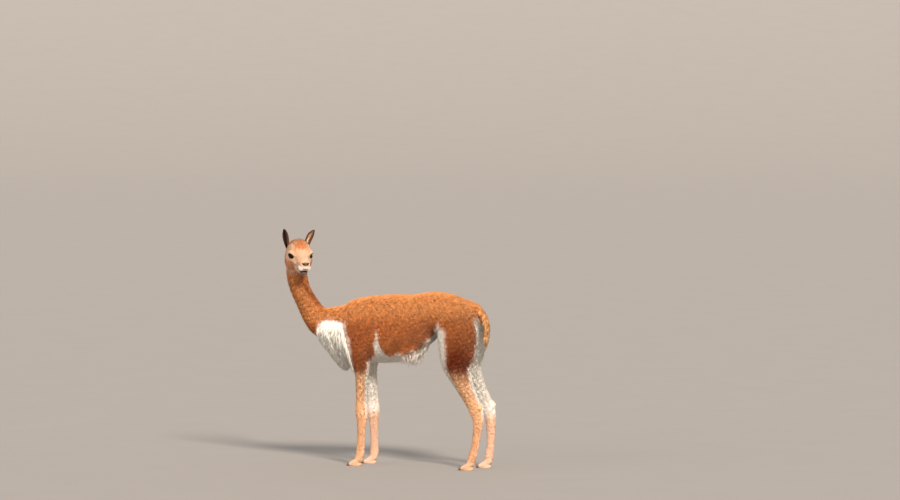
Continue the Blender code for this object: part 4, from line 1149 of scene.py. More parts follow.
def lie_of(p, facing):
    """The way hair lies at p: back along the trunk, down its sides and the legs, down the neck, and
    from the nose backward over the head."""
    x, y, z = p.T
    count = len(p)
    steep = np.abs(facing[:, 1]) * 0.75 + eased((0.64 - z) / 0.10) * 0.6
    trunk = np.stack([np.ones(count), np.zeros(count), -steep], axis=1)
    rump = eased((x - 0.24) / 0.14) * 1.2
    trunk[:, 2] -= rump
    dx = np.interp(z, neck_rows[3:, 1], -NECK_SLOPES[3:, 0])
    dz = np.interp(z, neck_rows[3:, 1], -NECK_SLOPES[3:, 1])
    neck = unit(np.stack([dx, np.zeros(count), dz], axis=1))
    head = np.tile(-HEAD_TURN[:, 0], (count, 1)) + 0.35 * HEAD_TURN[:, 2] * (in_head(p)[:, 2] > 0.01)[:, None]
    head[:, 2] -= 0.9 * eased((-0.02 - in_head(p)[:, 0]) / 0.05)
    leg = np.tile((0.06, 0.0, -1.0), (count, 1))
    on_leg = eased((0.60 - z) / 0.12)[:, None]
    on_neck, on_head = neck_share(p)[:, None], head_share(p)[:, None]
    way = unit(trunk) * (1 - on_leg) + leg * on_leg
    way = way * (1 - on_neck) + neck * on_neck
    way = way * (1 - on_head) + unit(head) * on_head
    way = way - np.einsum("ij,ij->i", way, facing)[:, None] * facing
    return unit(way)


# %% [markdown]
# ## From paths to blades
# Each tuft first gets a path of three or five points, and the blade is then put round it. A path is
# made step by step for all tufts together, and each step looks up how far away the skin is.

# %% Paths and blades
ROOT_DEPTH = 0.0015  # how deep a root lies in the skin
FLOOR_CLEARANCE = 0.001  # hair stays this far above the floor
SPANS = {2: (0.42, 0.58), 4: (0.16, 0.26, 0.29, 0.29)}  # share of a tuft's length in each span


def combed(roots, fall, lengths, lifts, spans, hold=0.02):
    """The path of each tuft: from under its root along the skin, bending after its fall.

    Each step goes the way of fall, less its part into the skin while the tuft is near it. A point
    nearer to the skin than its share of the lift is pushed out to that height.
    """
    normals = facing_of(roots)
    paths, facing, here = [roots - normals * ROOT_DEPTH], [normals], roots
    for grown, part in zip(np.cumsum(SPANS[spans]), SPANS[spans]):
        height = lifts * grown
        cling = np.clip(1 - (surface(here) - height) / hold, 0, 1)[:, None]
        way = fall - cling * np.einsum("ij,ij->i", fall, normals)[:, None] * normals
        here = here + unit(way) * (lengths * part)[:, None]
        normals = facing_of(here)
        here = here + normals * np.maximum(height - surface(here), 0)[:, None]
        here[:, 2] = np.maximum(here[:, 2], FLOOR_CLEARANCE)
        paths.append(here)
        facing.append(normals)
    return np.stack(paths, axis=1), np.stack(facing, axis=1)


def blades(paths, facing, widths, flatness=0.45):
    """A point at each end of a path, and a ring of 3 points, width * share wide, at each point between.

    Ring point j lies at the angle 90 + 120 j degrees, with the sine out of the skin, times flatness.
    """
    count, last = len(paths), paths.shape[1] - 1
    along = unit(np.gradient(paths, axis=1))[:, 1:last]
    aside = unit(np.cross(along, facing[:, 1:last]))
    out = np.cross(aside, along)
    share = np.interp(np.arange(last - 1) / max(last - 2, 1), (0, 0.5, 1), (1.0, 0.9, 0.55))
    angle = np.radians(90 + 120 * np.arange(3))
    across = np.cos(angle)[None, None, :, None] * aside[:, :, None, :]
    through = np.sin(angle)[None, None, :, None] * out[:, :, None, :] * flatness
    size = (share[None, :] * widths[:, None] / 2)[:, :, None, None]
    rings = paths[:, 1:last, None, :] + (across + through) * size
    points = np.concatenate([paths[:, :1], rings.reshape(count, (last - 1) * 3, 3), paths[:, last:]], axis=1)
    tip, turns = 3 * last - 2, [(j, (j + 1) % 3) for j in range(3)]
    faces = [(0, 1 + a, 1 + b) for a, b in turns]
    for k in range(last - 2):
        here, there = 1 + 3 * k, 4 + 3 * k
        faces += [(here + a, there + a, there + b) for a, b in turns]
        faces += [(here + a, there + b, here + b) for a, b in turns]
    faces += [(tip - 3 + a, tip, tip - 3 + b) for a, b in turns]
    faces = np.array(faces)[None] + (np.arange(count) * points.shape[1])[:, None, None]
    return points.reshape(-1, 3), faces.reshape(-1, 3), points.shape[1]


# %% [markdown]
# ## An unwrap for the coat
# Each coat piece gets a UV map. A tuft gets one small patch there, at the place of its root on an unwrap
# of the skin: round the part's own axis across, and along that axis upward.

# %% Coat pieces
PATCH = 0.003  # width of a tuft's patch in the unwrap


def unwrapped(roots, axis_from, axis_to):
    """Place of each root round and along an axis, as two numbers from 0.01 to 0.99."""
    axis_from, axis_to = np.array(axis_from, float), np.array(axis_to, float)
    way = unit(axis_to - axis_from)
    first = unit(np.cross(way, (0.31, 0.2, 0.93)))
    second = np.cross(way, first)
    away = roots - axis_from
    turn = np.arctan2(away @ second, away @ first) / (2 * math.pi) + 0.5
    along = away @ way
    along = (along - along.min()) / max(np.ptp(along), 1e-6)
    return np.stack([turn, along], axis=1) * 0.98 + 0.01


def coat_piece(name, roots, paths, facing, widths, colours, axis, material, tip_light=1.15):
    """One mesh of all the blades, with colours from root to tip and the OFBake unwrap.

    Light falls less deep into a dark coat, so each tuft carries painted shade at its root and painted light
    at its tip: the root of a fawn tuft has 0.62 of the marking's light, and that of a white one all of it,
    and the tip has tip_light times it. A tuft's patch in the unwrap has the root at its bottom, the tip at
    its top and the rings between.
    """
    points, faces, per_tuft = blades(paths, facing, widths)
    obj = make_mesh(name, points, faces)
    spans = SPANS[paths.shape[1] - 1]
    height = np.concatenate([[0], np.repeat(np.cumsum(spans)[:-1], 3), [1]])
    # Painted shade at the root of each tuft, rising to painted light at its tip.
    root_light = np.interp(colours.mean(axis=1), PALENESS, ROOT_LIGHT)[:, None]
    light = root_light + (tip_light - root_light) * height[None]
    stain(obj, "pelt", np.clip((colours[:, None] * light[..., None]).reshape(-1, 3), 0, 0.96))
    centre = unwrapped(roots, *axis)
    turn = np.radians(120 * ((np.arange(per_tuft) - 1) % 3))
    inner = (height > 0) & (height < 1)
    spread = np.stack([np.cos(turn) * inner, height * 2 - 1], axis=1) * PATCH / 2
    places = (centre[:, None] + spread[None]).reshape(-1, 2)
    layer = obj.data.uv_layers.new(name="OFBake")
    corners = np.empty(len(obj.data.loops), np.int32)
    obj.data.loops.foreach_get("vertex_index", corners)
    layer.data.foreach_set("uv", places[corners].astype(np.float32).ravel())
    return finished(obj, material)


# %% [markdown]
# ## The wool
# The fine wool of the back and sides stands in small locks, up to 3 cm long, that gather at their
# tips, which gives the coat its mottled look. Towards the feet and the nose it gets shorter, finer
# and flatter. The coat is made in pieces, so that none is too large, and each piece has an axis that
# its unwrap goes round.

# %% Regions of wool
BACK_AXIS = ((-0.40, 0, 0.70), (0.45, 0, 0.74))
NECK_AXIS = ((-0.46, 0, 0.74), (-0.577, 0, 1.00))
HEAD_AXIS = (HEAD_ORIGIN - 0.08 * HEAD_TURN[:, 0], HEAD_ORIGIN + 0.12 * HEAD_TURN[:, 0])
LEG_AXES = {}
for name, rows in LEGS.items():
    aside = 0.08 if "right" in name else -0.08
    LEG_AXES[name] = ((rows[6][0], aside, 0.0), (rows[2][0], aside, 0.6))
LOCK_SPACING = 0.022  # metres between the middles of neighbouring locks
TUFT_SPACING = 0.80  # in widths of a tuft
WHITE_FROM, WHITE_SPAN = 0.62, 0.3  # mean of red, green and blue where wool counts as white


def gather(p, facing, reach):
    """Pull on the tips at p along the skin that draws neighbours together: the slope of a ripple."""
    step = 0.001
    ahead_and_back = [
        (ripple(p + e, LOCK_SPACING, 21), ripple(p - e, LOCK_SPACING, 21)) for e in step * np.eye(3)
    ]
    slope = np.stack([ahead - back for ahead, back in ahead_and_back], axis=1) / (2 * step) * reach
    return slope - np.einsum("ij,ij->i", slope, facing)[:, None] * facing


def short_coat(name, region, axis, fluff=1.0):
    """Wool over a region, a function of places and facings that gives a share from 0 to 1.

    There is one tuft for each square of skin whose side is 0.80 of a tuft's width. Each sways aside
    and outward by random angles times fluff. Its colour is the marking times 1 + mottling, which is
    a ripple of 4.5 cm, one of 1.2 cm and a random number for each tuft.
    """
    width = coat(MIDDLES, 2)
    density = region(MIDDLES, MIDDLE_FACING) / (TUFT_SPACING * width) ** 2
    roots = roots_on_skin(density)
    count = len(roots)
    normals = facing_of(roots)
    fall = lie_of(roots, normals)
    depth = coat(roots, 0) * (0.15 + 0.85 * near_eyes(roots))
    sway = np.cross(fall, normals) * RNG.normal(0, 0.22 * fluff, count)[:, None]
    fall = unit(fall + sway + normals * RNG.normal(0.04, 0.08 * fluff, count)[:, None])
    lengths = coat(roots, 1) * RNG.uniform(0.72, 1.25, count)
    lifts = depth * RNG.uniform(0.75, 1.0 + 0.35 * fluff, count)
    paths, facing = combed(roots, fall, lengths, lifts, 2, 0.01)
    pull = gather(roots, normals, 0.00005) * (depth / 0.012)[:, None]
    paths[:, 2] += pull
    paths[:, 1] += 0.35 * pull
    colours = markings(roots, normals)
    fawn = eased((WHITE_FROM - colours.mean(axis=1)) / WHITE_SPAN)  # white wool is evenly white
    mottle = 0.12 * ripple(roots, 0.045, 31) + 0.22 * ripple(roots, 0.012, 32) + RNG.normal(0, 0.17, count)
    colours = colours * (1 + np.clip(mottle, -0.5, 0.5) * (0.12 + 0.88 * fawn))[:, None]
    widths = coat(roots, 2) * RNG.uniform(0.75, 1.25, count)
    return coat_piece(name, roots, paths, facing, widths, colours, axis, WOOL_MATERIAL)


def trunk_share(p):
    """1 on the trunk and the tops of the legs, 0 on the neck, head and lower legs."""
    return (1 - (neck_share(p) > 0.5)) * (p[:, 2] > 0.55)


def in_bib(p):
    """Whether long hair of the chest covers p."""
    return (p[:, 0] < np.interp(p[:, 2], *BREAST_REAR) - 0.02) & (p[:, 2] < 0.735) & (p[:, 0] < -0.2)


# %% [markdown]
# ## Shoulders, barrel, loins and rump
# Four bands across the trunk, and the rump is split into left and right. The wool is left out where
# the long hair of the chest grows.

# %% Wool of the trunk
short_coat("wool_shoulders", lambda p, n: trunk_share(p) * (p[:, 0] < -0.09) * ~in_bib(p), BACK_AXIS)
short_coat("wool_barrel", lambda p, n: trunk_share(p) * (p[:, 0] >= -0.09) * (p[:, 0] < 0.10), BACK_AXIS)
short_coat("wool_loins", lambda p, n: trunk_share(p) * (p[:, 0] >= 0.10) * (p[:, 0] < 0.27), BACK_AXIS)
short_coat("wool_rump_left", lambda p, n: trunk_share(p) * (p[:, 0] >= 0.27) * (p[:, 1] < 0), BACK_AXIS)
short_coat("wool_rump_right", lambda p, n: trunk_share(p) * (p[:, 0] >= 0.27) * (p[:, 1] >= 0), BACK_AXIS)

# %% [markdown]
# ## Neck and head
# The neck has wool like the trunk's. On the head it changes to sleek short hair: longer on the crown,
# and flat and fine on the face, where bare skin shows at lids, nostrils and mouth.

# %% Wool of the neck and head
short_coat("wool_neck", lambda p, n: (neck_share(p) > 0.5) * (head_share(p) < 0.5), NECK_AXIS)
short_coat(
    "hair_crown", lambda p, n: (head_share(p) >= 0.5) * (in_head(p)[:, 0] < 0.0) * 1.1, HEAD_AXIS, fluff=0.45
)
short_coat(
    "hair_face",
    lambda p, n: (head_share(p) >= 0.5) * (in_head(p)[:, 0] >= 0.0) * (dark_share(p) < 0.35) * 0.55,
    HEAD_AXIS,
    fluff=0.4,
)

# %% [markdown]
# ## Legs
# The hair of the legs is so short and flat that its tufts show only as fine streaks. Below the knee
# there are fewer of them, because the skin's own colour carries the look there.

# %% Short hair of the legs
for name in LEGS:

    def this_leg(p, facing, right="right" in name, fore="fore" in name):
        """The leg on that side and end, from the pad up: 0.20 of full density low, 0.58 high."""
        x, y, z = p.T
        here = (z <= 0.55) * (z > 0.012) * ((y > 0) == right) * ((x < 0.1) == fore)
        return here * (0.20 + 0.38 * eased((z - 0.25) / 0.2)) * ~in_bib(p)

    short_coat(f"hair_{name}_leg", this_leg, LEG_AXES[name], fluff=0.6)

# %% [markdown]
# ## Long hair
# The white hair of the chest is silky and up to 14 cm long. It springs from the whole breast, hangs
# nearly straight and ends in loose points. A shorter fringe hangs along the belly, and the tail is
# clothed in hair as long as a finger. A lock has four spans, so that it can bend over the breast.

# %% Locks of the chest, belly and tail


def long_hair(name, region, density, fall, length_at, lift, width, axis, spread, material, tone):
    """Locks over a region that fall the same way, apart from their own spread."""
    roots = roots_on_skin(density * region(MIDDLES, MIDDLE_FACING))
    count = len(roots)
    normals = facing_of(roots)
    falls = unit(np.tile(fall, (count, 1)) + RNG.normal(0, 1, (count, 3)) * spread)
    size = length_at(roots) * RNG.uniform(0.72, 1.12, count)
    lifts = lift * RNG.uniform(0.45, 1.10, count) * np.minimum(size / 0.08, 1)
    paths, facing = combed(roots, falls, size, lifts, 4)
    strand = np.concatenate([[0], np.cumsum(SPANS[4])]) ** 1.5
    pull = gather(roots, normals, 0.00006)
    paths = paths + pull[:, None] * strand[None, :, None]
    colours = mixed(markings(roots, normals), tone, np.full(count, 0.85))
    colours = colours * RNG.normal(1, 0.03, count)[:, None]
    widths = width * RNG.uniform(0.7, 1.3, count)
    return coat_piece(name, roots, paths, facing, widths, colours, axis, material)


def breast_region(p, facing):
    """Front and sides of the chest under the neck."""
    return in_bib(p) * (p[:, 2] > 0.50) * (facing[:, 0] < 0.5) * (white_share(p, facing) > 0.5)


def fringe_region(p, facing):
    """The lower sides and underside of the belly, up to the fold of the flank."""
    x, y, z = p.T
    edge = np.interp(x, *BELLY_EDGE)
    return (x > -0.11) * (x < 0.235) * (z < edge + 0.010) * (z > 0.50) * (np.abs(y) > 0.02)


def tail_region(p, facing):
    """All round the tail behind the rump."""
    return (TAIL_SHAPE.distance(p) < 0.004) * (p[:, 0] > 0.425) * (p[:, 2] > 0.64)


def breast_length(p):
    """Up to 13 cm, shorter low on the breast, so that the tips end at about the same height."""
    heights, lengths = (0.50, 0.54, 0.58, 0.64, 0.70, 0.735), (0.045, 0.080, 0.112, 0.130, 0.105, 0.060)
    return np.interp(p[:, 2], heights, lengths)


def fringe_length(p):
    """Longest before the flank's fold, and short in it."""
    return np.interp(p[:, 0], (-0.10, 0.05, 0.12, 0.165, 0.215), (0.074, 0.084, 0.098, 0.098, 0.045))


def tail_length(p):
    """Longest in the middle of the tail."""
    return np.interp(p[:, 2], (0.65, 0.70, 0.80), (0.060, 0.075, 0.055))


# %% [markdown]
# ## Chest, belly and tail
# The chest has long wide locks that hide the skin, and the tail many fine ones. Lift is about how
# far the tips stand off the skin: 2 cm on the chest, and half as much elsewhere.

# %% Hang the locks
for name, on_left in (("hair_chest_left", True), ("hair_chest_right", False)):
    long_hair(
        name,
        lambda p, n: breast_region(p, n) * ((p[:, 1] < 0) == on_left),
        density=92000,
        fall=(0.10, 0, -1),
        length_at=breast_length,
        lift=0.021,
        width=0.0052,
        axis=NECK_AXIS,
        spread=(0.06, 0.09, 0.0),
        material=HAIR_MATERIAL,
        tone=WHITE,
    )
long_hair(
    "hair_belly",
    fringe_region,
    density=64000,
    fall=(0.12, 0, -1),
    length_at=fringe_length,
    lift=0.010,
    width=0.0050,
    axis=BACK_AXIS,
    spread=(0.07, 0.05, 0.0),
    material=HAIR_MATERIAL,
    tone=WHITE,
)
long_hair(
    "hair_tail",
    tail_region,
    density=230000,
    fall=(0.02, 0, -1),
    length_at=tail_length,
    lift=0.009,
    width=0.0040,
    axis=((0.44, 0, 0.80), (0.46, 0, 0.64)),
    spread=(0.04, 0.05, 0.0),
    material=WOOL_MATERIAL,
    tone=TAIL_ORANGE,
)

# %% [markdown]
# ## Eyes
# Each eye is a ball with a bulged cornea in front. A vicuna's iris is dark brown with a level oval
# pupil, so from a few steps away the eye is black with a bright reflection.

# %% Eyeballs


def ball_points(rows, columns):
    """Unit directions on a ball with the pole along x: (cos a, sin a cos b, sin a sin b)."""
    a = np.linspace(0, math.pi, rows)[:, None]
    b = np.linspace(0, 2 * math.pi, columns, endpoint=False)[None]
    return np.stack([np.cos(a) + 0 * b, np.sin(a) * np.cos(b), np.sin(a) * np.sin(b)], axis=-1)


def shell_faces(rows, columns):
    """Triangles of a closed shell whose first and last rows are single points, facing outward."""
    i, j = np.meshgrid(np.arange(rows - 3), np.arange(columns), indexing="ij")
    a = 1 + i * columns + j
    b = 1 + i * columns + (j + 1) % columns
    halves = [np.stack([a, a + columns, b + columns], -1), np.stack([a, b + columns, b], -1)]
    body = np.concatenate([half.reshape(-1, 3) for half in halves])
    ring = np.arange(columns)
    after = (ring + 1) % columns
    last = 1 + (rows - 3) * columns
    first_cap = np.stack([np.zeros(columns, int), 1 + ring, 1 + after], axis=1)
    last_cap = np.stack([np.full(columns, last + columns), last + after, last + ring], axis=1)
    return np.concatenate([first_cap, body, last_cap])


def closed_shell(grid):
    """The points of a rows x columns grid whose first and last rows are one point each."""
    return np.concatenate([grid[:1, 0], grid[1:-1].reshape(-1, 3), grid[-1:, 0]])


ROWS, COLUMNS = 40, 48
CORNEA_EDGE, IRIS_EDGE = math.cos(math.radians(42)), math.cos(math.radians(44))  # round the eye's axis
CORNEA_BULGE = 0.05
PUPIL_HALVES = (0.42, 0.22)  # across and up, in parts of the eye's radius
PUPIL, IRIS, WHITE_OF_EYE = linear("#050404"), linear("#2e1a0f"), linear("#1c1411")
ways = closed_shell(ball_points(ROWS, COLUMNS))
cornea = eased((ways[:, 0] - CORNEA_EDGE) / 0.25)
for name, side in (("eye_left", 1), ("eye_right", -1)):
    looks = EYE_LOOKS * (1, side, 1)
    beside = unit(np.cross((0, 0, 1), looks))
    turn = np.stack([looks, beside, np.cross(looks, beside)], axis=1)
    ball = ways * (EYE_RADIUS * (1 + CORNEA_BULGE * cornea))[:, None]
    eye = make_mesh(f"{name}_ball", to_body(ball @ turn.T + eye_place(side)), shell_faces(ROWS, COLUMNS))
    iris = eased((ways[:, 0] - IRIS_EDGE) / 0.06)
    across, up = ways[:, 1] / PUPIL_HALVES[0], ways[:, 2] / PUPIL_HALVES[1]
    pupil = eased((1 - np.hypot(across, up)) / 0.25) * (ways[:, 0] > 0)
    stain(eye, "pelt", mixed(mixed(WHITE_OF_EYE, IRIS, iris), PUPIL, pupil))
    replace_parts(finished(eye, EYE_MATERIAL), name)

# %% [markdown]
# ## Ears
# An ear is a pointed leaf curled into a cup about its own length: the section at height v is an arc
# whose angle narrows towards the tip. It has an outer and an inner wall, dark hair outside, and a
# pale streak of longer hair inside.

# %% Shape of an ear
EAR_LENGTH = 0.106
EARS = {  # root, tip, the way it opens and how far it bows, in the head's frame
    1: ((-0.055, 0.046, 0.031), (-0.052, 0.0820, 0.119), (0.90, 0.40, 0), 0.006),
    -1: ((-0.055, -0.054, 0.034), (-0.050, -0.0767, 0.1245), (0.45, -0.90, 0), -0.004),
}
# Painted light and shade: the hair in the left ear's cup is lighter and its streak paler, as where light
# falls, and the right one's dark, as in shade.
EAR_LINING_PAINTED_LIGHT = {1: linear("#6d422a"), -1: EAR_BROWN}  # the left one catches the light
EAR_STREAK_PAINTED_LIGHT = {1: 0.9, -1: 0.2}  # how pale the streak of hair in the cup is
EAR_HALF_WIDTH, EAR_INSET = 0.0198, 0.0012  # at the widest with its hair, and the hair's depth
STATIONS, TURNS = 30, 25  # grid points along an ear and across it


def ear_grid(side, stations, turns, inset):
    """Outer and inner wall of an ear on a grid of height v by place across, and the wall normals."""
    root, tip, opens, bow = EARS[side]
    axis = unit(np.subtract(tip, root))
    opens = unit(opens - axis * (axis @ opens))
    beside = np.cross(axis, opens)
    v = np.linspace(0, 1, stations)
    shares = (0.55, 0.68, 0.88, 1.0, 0.90, 0.52, 0.08)
    width = (EAR_HALF_WIDTH - inset) * np.interp(v, (0, 0.2, 0.4, 0.6, 0.76, 0.9, 1), shares)
    wrap = np.radians(np.interp(v, (0, 0.25, 0.6, 1), (125, 105, 85, 65)))
    thick = np.interp(v, (0, 0.5, 1), (0.0030, 0.0022, 0.0010))
    angle = wrap[:, None] * np.linspace(-1, 1, turns)
    walls = []
    for wall in (0, 1):
        radius = width * 1.02 / np.sin(np.minimum(wrap, math.pi / 2)) - wall * thick
        out = -np.cos(angle) * radius[:, None] + (radius * np.cos(wrap) * 0.4)[:, None]
        aside = np.sin(angle) * radius[:, None]
        bend = bow * np.sin(v * math.pi)
        middle = root + axis * (v[:, None] * (EAR_LENGTH + 0.002) - 0.012) - opens * bend[:, None]
        walls.append(middle[:, None] + opens * out[..., None] + beside * aside[..., None])
    away = -np.cos(angle)[..., None] * opens + np.sin(angle)[..., None] * beside
    return walls, away


def sheet_faces(stations, turns):
    """Quads of two walls on the same grid, joined along all four sides, facing outward."""
    i, j = np.meshgrid(np.arange(stations - 1), np.arange(turns - 1), indexing="ij")
    a = (i * turns + j).ravel()
    outer = np.stack([a, a + 1, a + turns + 1, a + turns], axis=1)
    half = stations * turns
    sides = [np.arange(stations) * turns, (stations - 1) * turns + np.arange(turns)]
    sides += [(np.arange(stations) * turns + turns - 1)[::-1], np.arange(turns)[::-1]]
    rim = [np.stack([s[1:], s[:-1], half + s[:-1], half + s[1:]], axis=1)[:, ::-1] for s in sides]
    return np.concatenate([outer, half + outer[:, ::-1], *rim])


def outward_all(obj):
    """Turns every face of a closed mesh outward."""
    shape = bmesh.new()
    shape.from_mesh(obj.data)
    bmesh.ops.recalc_face_normals(shape, faces=shape.faces[:])
    shape.to_mesh(obj.data)
    shape.free()


# %% [markdown]
# ## The ears' skin and hair
# An ear is dark brown at its tip and fawn at its root, and the skin in its cup is bare and paler. Its
# hair is placed on the same grid, so each tuft knows its height and its place across.

# %% Ears
EAR_SKIN = linear("#8a6a52")
EAR_HAIRS = 1700  # on each wall
EAR_WALLS = (("outside", 0.009, 0.0014), ("inside", 0.015, 0.0030))  # length and lift of the hair
EAR_HAIR_WIDTH = 0.0017
for name, side in (("ear_left", 1), ("ear_right", -1)):
    walls, away = ear_grid(side, STATIONS, TURNS, EAR_INSET)
    leaf = to_body(np.concatenate([w.reshape(-1, 3) for w in walls]))
    ear = make_mesh(f"{name}_leaf", leaf, sheet_faces(STATIONS, TURNS))
    outward_all(ear)
    height = np.tile(np.repeat(np.linspace(0, 1, STATIONS), TURNS), 2)
    across = np.tile(np.tile(np.linspace(-1, 1, TURNS), STATIONS), 2)
    inner = np.repeat((0.0, 1.0), STATIONS * TURNS)
    colours = mixed(EAR_BROWN, EAR_BACK, (1 - inner) * eased((0.9 - height) / 0.3))
    colours = mixed(colours, FAWN, eased((0.35 - height) / 0.35) * 0.8 * (1 - inner))
    colours = mixed(colours, EAR_SKIN, inner * eased((0.75 - np.abs(across)) / 0.3) * 0.6)
    stain(ear, "pelt", colours)
    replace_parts(finished(ear, SKIN_MATERIAL), name)
    picks = RNG.uniform(0, 1, (int(EAR_HAIRS * LOOK_SHARE), 2))
    i = np.minimum((picks[:, 0] ** 0.8 * (STATIONS - 1)).astype(int), STATIONS - 4)
    j = (picks[:, 1] * (TURNS - 1)).astype(int)
    for wall, (label, length, lift) in enumerate(EAR_WALLS):
        blend_i, blend_j = RNG.uniform(0, 1, (2, len(i), 1))
        corner = walls[wall]
        root = (corner[i, j] * (1 - blend_i) + corner[i + 1, j] * blend_i) * (1 - blend_j)
        root = root + (corner[i, j + 1] * (1 - blend_i) + corner[i + 1, j + 1] * blend_i) * blend_j
        normal = unit(away[i, j]) * (1 if wall == 0 else -1)
        along = unit(corner[i + 1, j] - corner[i, j])
        along = unit(along + np.cross(along, normal) * RNG.normal(0, 0.2, len(i))[:, None])
        size = length * RNG.uniform(0.6, 1.2, len(i)) * (1 - 0.6 * i / STATIONS)
        steps = [root - normal * 0.0004]
        for grown in np.cumsum(SPANS[2]):
            steps.append(root + along * (size * grown)[:, None] + normal * lift * grown)
        paths = to_body(np.stack(steps, axis=1))
        facing = np.repeat((normal @ HEAD_TURN.T)[:, None], 3, axis=1)
        spot = np.abs(j / (TURNS - 1) * 2 - 1)
        tint = mixed(EAR_BROWN, EAR_BACK, eased((0.9 - i / STATIONS) / 0.3))
        tint = mixed(tint, FAWN, eased((0.40 - i / STATIONS) / 0.4) * 0.9)
        if label == "inside":
            # Painted light in the left ear's cup and painted shade in the right one's.
            tint = mixed(EAR_LINING_PAINTED_LIGHT[side], CREAM, eased((0.50 - spot) / 0.25) * EAR_STREAK_PAINTED_LIGHT[side])
        tint = tint * RNG.normal(1, 0.08, len(i))[:, None]
        widths = EAR_HAIR_WIDTH * RNG.uniform(0.7, 1.3, len(i))
        ends = (to_body(np.array(EARS[side][0])), to_body(np.array(EARS[side][1])))
        hair_name = f"{name}_{label}_hair"
        coat_piece(hair_name, paths[:, 0], paths, facing, widths, tint, ends, WOOL_MATERIAL)

# %% [markdown]
# ## Lashes
# Long dark lashes shade a vicuna's eyes from the high sun. They stand in one row along the upper lid,
# on the same curve as its opening, and fan out towards both corners.

# %% Lashes
LASHES = 34
LASH_LENGTH, LASH_WIDTH = 0.0105, 0.0011
LASH_BROWN = linear("#1d120c")
for name, side in (("lashes_left", 1), ("lashes_right", -1)):
    looks = EYE_LOOKS * (1, side, 1)
    forward = unit(np.cross(np.cross(looks, EYE_SLANT), looks))
    upward = np.cross(looks, forward)
    upward = upward * np.sign(upward[2])
    t = np.linspace(-0.92, 0.92, LASHES) + RNG.uniform(-0.02, 0.02, LASHES)
    high = (1 - np.abs(t) ** 1.7) ** (1 / 1.7)
    wide = t[:, None] * EYE_OPENING[0] * forward
    rim = wide + high[:, None] * EYE_OPENING[1] * upward
    depth = np.sqrt(np.maximum((EYE_RADIUS + 0.0018) ** 2 - (rim**2).sum(axis=1), 0))
    root = eye_place(side) + rim + depth[:, None] * looks
    fan = 0.55 * upward * high[:, None]
    out = unit(looks + fan + t[:, None] * 0.5 * forward + RNG.normal(0, 0.06, (LASHES, 3)))
    size = LASH_LENGTH * RNG.uniform(0.75, 1.15, LASHES)[:, None]
    middle = root + out * size * 0.5 - upward * size * 0.10
    paths = to_body(np.stack([root - out * 0.0008, middle, root + out * size - upward * size * 0.12], axis=1))
    facing = np.repeat(np.tile(upward @ HEAD_TURN.T, (LASHES, 1))[:, None], 3, axis=1)
    tint, widths = np.tile(LASH_BROWN, (LASHES, 1)), np.full(LASHES, LASH_WIDTH)
    axis = (to_body(eye_place(side)), to_body(eye_place(side) + looks * 0.02))
    coat_piece(name, paths[:, 0], paths, facing, widths, tint, axis, WOOL_MATERIAL)

# %% [markdown]
# ## Toenails
# Each toe ends in a narrow pointed nail of dark horn. It is the front of the same toe, cut off by
# planes and netted on a grid of 1 mm, so it carries on the toe's shape a hair's breadth outside it.

# %% Toenails
HORN_COLOUR = linear("#7a6453")
for leg, rows in LEGS.items():
    sign = 1 if "right" in leg else -1
    track = FORE_TRACK if "fore" in leg else HIND_TRACK
    heel_x, heel_y = rows[-1][0], sign * track * rows[-1][4]
    for toe, label in ((1, "right"), (-1, "left")):
        front = heel_x - NAIL_START

        def nail_distance(p, shapes=LEG_SHAPES[leg], front=front, heel_y=heel_y, toe=toe):
            """The toe's tip in front of a plane, on its own side of the foot, above the floor."""
            d = joined_distance(shapes, p)
            return np.max([d, p[:, 0] - front, -toe * (p[:, 1] - heel_y), 0.0003 - p[:, 2]], axis=0)

        low, high = (front - 0.022, heel_y - 0.026, -0.002), (front + 0.003, heel_y + 0.026, 0.026)
        block = Block(nail_distance, low, high, 0.0010)
        nail = make_mesh(f"{leg}_nail_{label}_horn", *netted(block))
        stain(nail, "pelt", np.tile(HORN_COLOUR, (len(nail.data.vertices), 1)))
        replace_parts(finished(nail, HORN_MATERIAL), f"{leg}_nail_{label}")

# %% [markdown]
# ## Studio floor
# A wide matt floor turns up far away, like the paper sweep in a photo studio, so no horizon shows.
# It is a bowl: a profile carried round the upright axis, flat in the middle and then a wide arc.

# %% Floor
FLOOR_RADIUS, WALL_BEND = 42.0, 100.0  # metres; the floor is flat out to the first, then turns upward
WALL_ANGLE = math.radians(34)
FLOOR_SIDES = 96
around = np.linspace(0, 2 * math.pi, FLOOR_SIDES, endpoint=False)
bend = np.linspace(0, WALL_ANGLE, 17)
reach = np.concatenate([[3.0, 12.0], FLOOR_RADIUS + WALL_BEND * np.sin(bend)])
rise = np.concatenate([[0.0, 0.0], WALL_BEND * (1 - np.cos(bend))])
east, north = reach[:, None] * np.cos(around), reach[:, None] * np.sin(around)
bowl = np.stack([east, north, rise[:, None] + 0 * around], -1)
rows, columns = np.meshgrid(np.arange(len(reach) - 1), np.arange(FLOOR_SIDES), indexing="ij")
first, after = rows * FLOOR_SIDES + columns, rows * FLOOR_SIDES + (columns + 1) % FLOOR_SIDES
quads = np.stack([first, first + FLOOR_SIDES, after + FLOOR_SIDES, after], axis=-1).reshape(-1, 4)
floor = make_mesh("floor", bowl.reshape(-1, 3), quads)
floor.data.shade_smooth()
middle = bmesh.new()
middle.from_mesh(floor.data)
middle.verts.ensure_lookup_table()
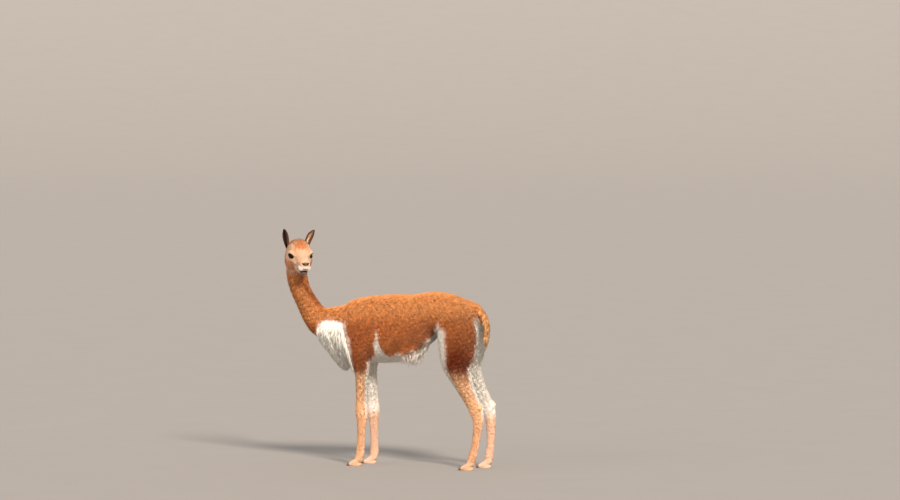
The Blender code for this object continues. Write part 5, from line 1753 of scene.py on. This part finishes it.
middle.faces.new([middle.verts[k] for k in range(FLOOR_SIDES)])
middle.to_mesh(floor.data)
middle.free()
print("the floor rises", round(float(rise[-1]), 1), "metres at its far side")

# %% [markdown]
# ## Floor finish
# Matt painted board: no reflections, and a mottling so faint that the floor reads as one grey.

# %% Floor finish
floor_material, floor_tree, floor_shader = new_material("matt_studio_floor", {"Roughness": 0.9})
floor_place = add_node(floor_tree, "ShaderNodeTexCoord")
floor_noise = add_node(
    floor_tree, "ShaderNodeTexNoise", {"Scale": 3.0, "Detail": 4.0}, {"Vector": floor_place.outputs["Object"]}
)
floor_colour = add_node(
    floor_tree,
    "ShaderNodeMix",
    {"data_type": "RGBA", 6: (*linear("#98938e"), 1), 7: (*linear("#9c9792"), 1)},
    {0: floor_noise.outputs["Fac"]},
)
floor_tree.links.new(floor_colour.outputs[2], floor_shader.inputs["Base Color"])
floor.data.materials.append(floor_material)

# %% [markdown]
# ## Lights
# The key stands to the right of the camera, high enough to light the back more than the flank. A
# broad fill from the camera's left and a pale sky keep the white chest bright. Wide lights make soft
# shadows, so that the coat's own relief shows.

# %% Lights and sky
LIGHTS = (  # name, place, strength, width in degrees and colour
    ("key", (5.3, -5.7, 5.6), 4.4, 12.0, "#fff2e4"),
    ("fill", (-4.0, -8.0, 2.4), 1.30, 60.0, "#fff4ea"),
)
SKY_COLOUR, SKY_STRENGTH = linear("#ebe8e8"), 0.76
for name, place, strength, spread, tint in LIGHTS:
    lamp = bpy.data.lights.new(name, "SUN")
    lamp.energy, lamp.angle, lamp.color = strength, math.radians(spread), linear(tint)
    light = bpy.data.objects.new(name, lamp)
    look_at(light, place, (0, 0, 0.6))
    bpy.context.scene.collection.objects.link(light)
world = bpy.data.worlds.new("studio")
world.use_nodes = True
sky = world.node_tree.nodes["Background"]
sky.inputs["Color"].default_value = (*SKY_COLOUR, 1)
sky.inputs["Strength"].default_value = SKY_STRENGTH
bpy.context.scene.world = world
bpy.context.scene.view_settings.view_transform = "Standard"
print(len(LIGHTS), "lights and a sky")
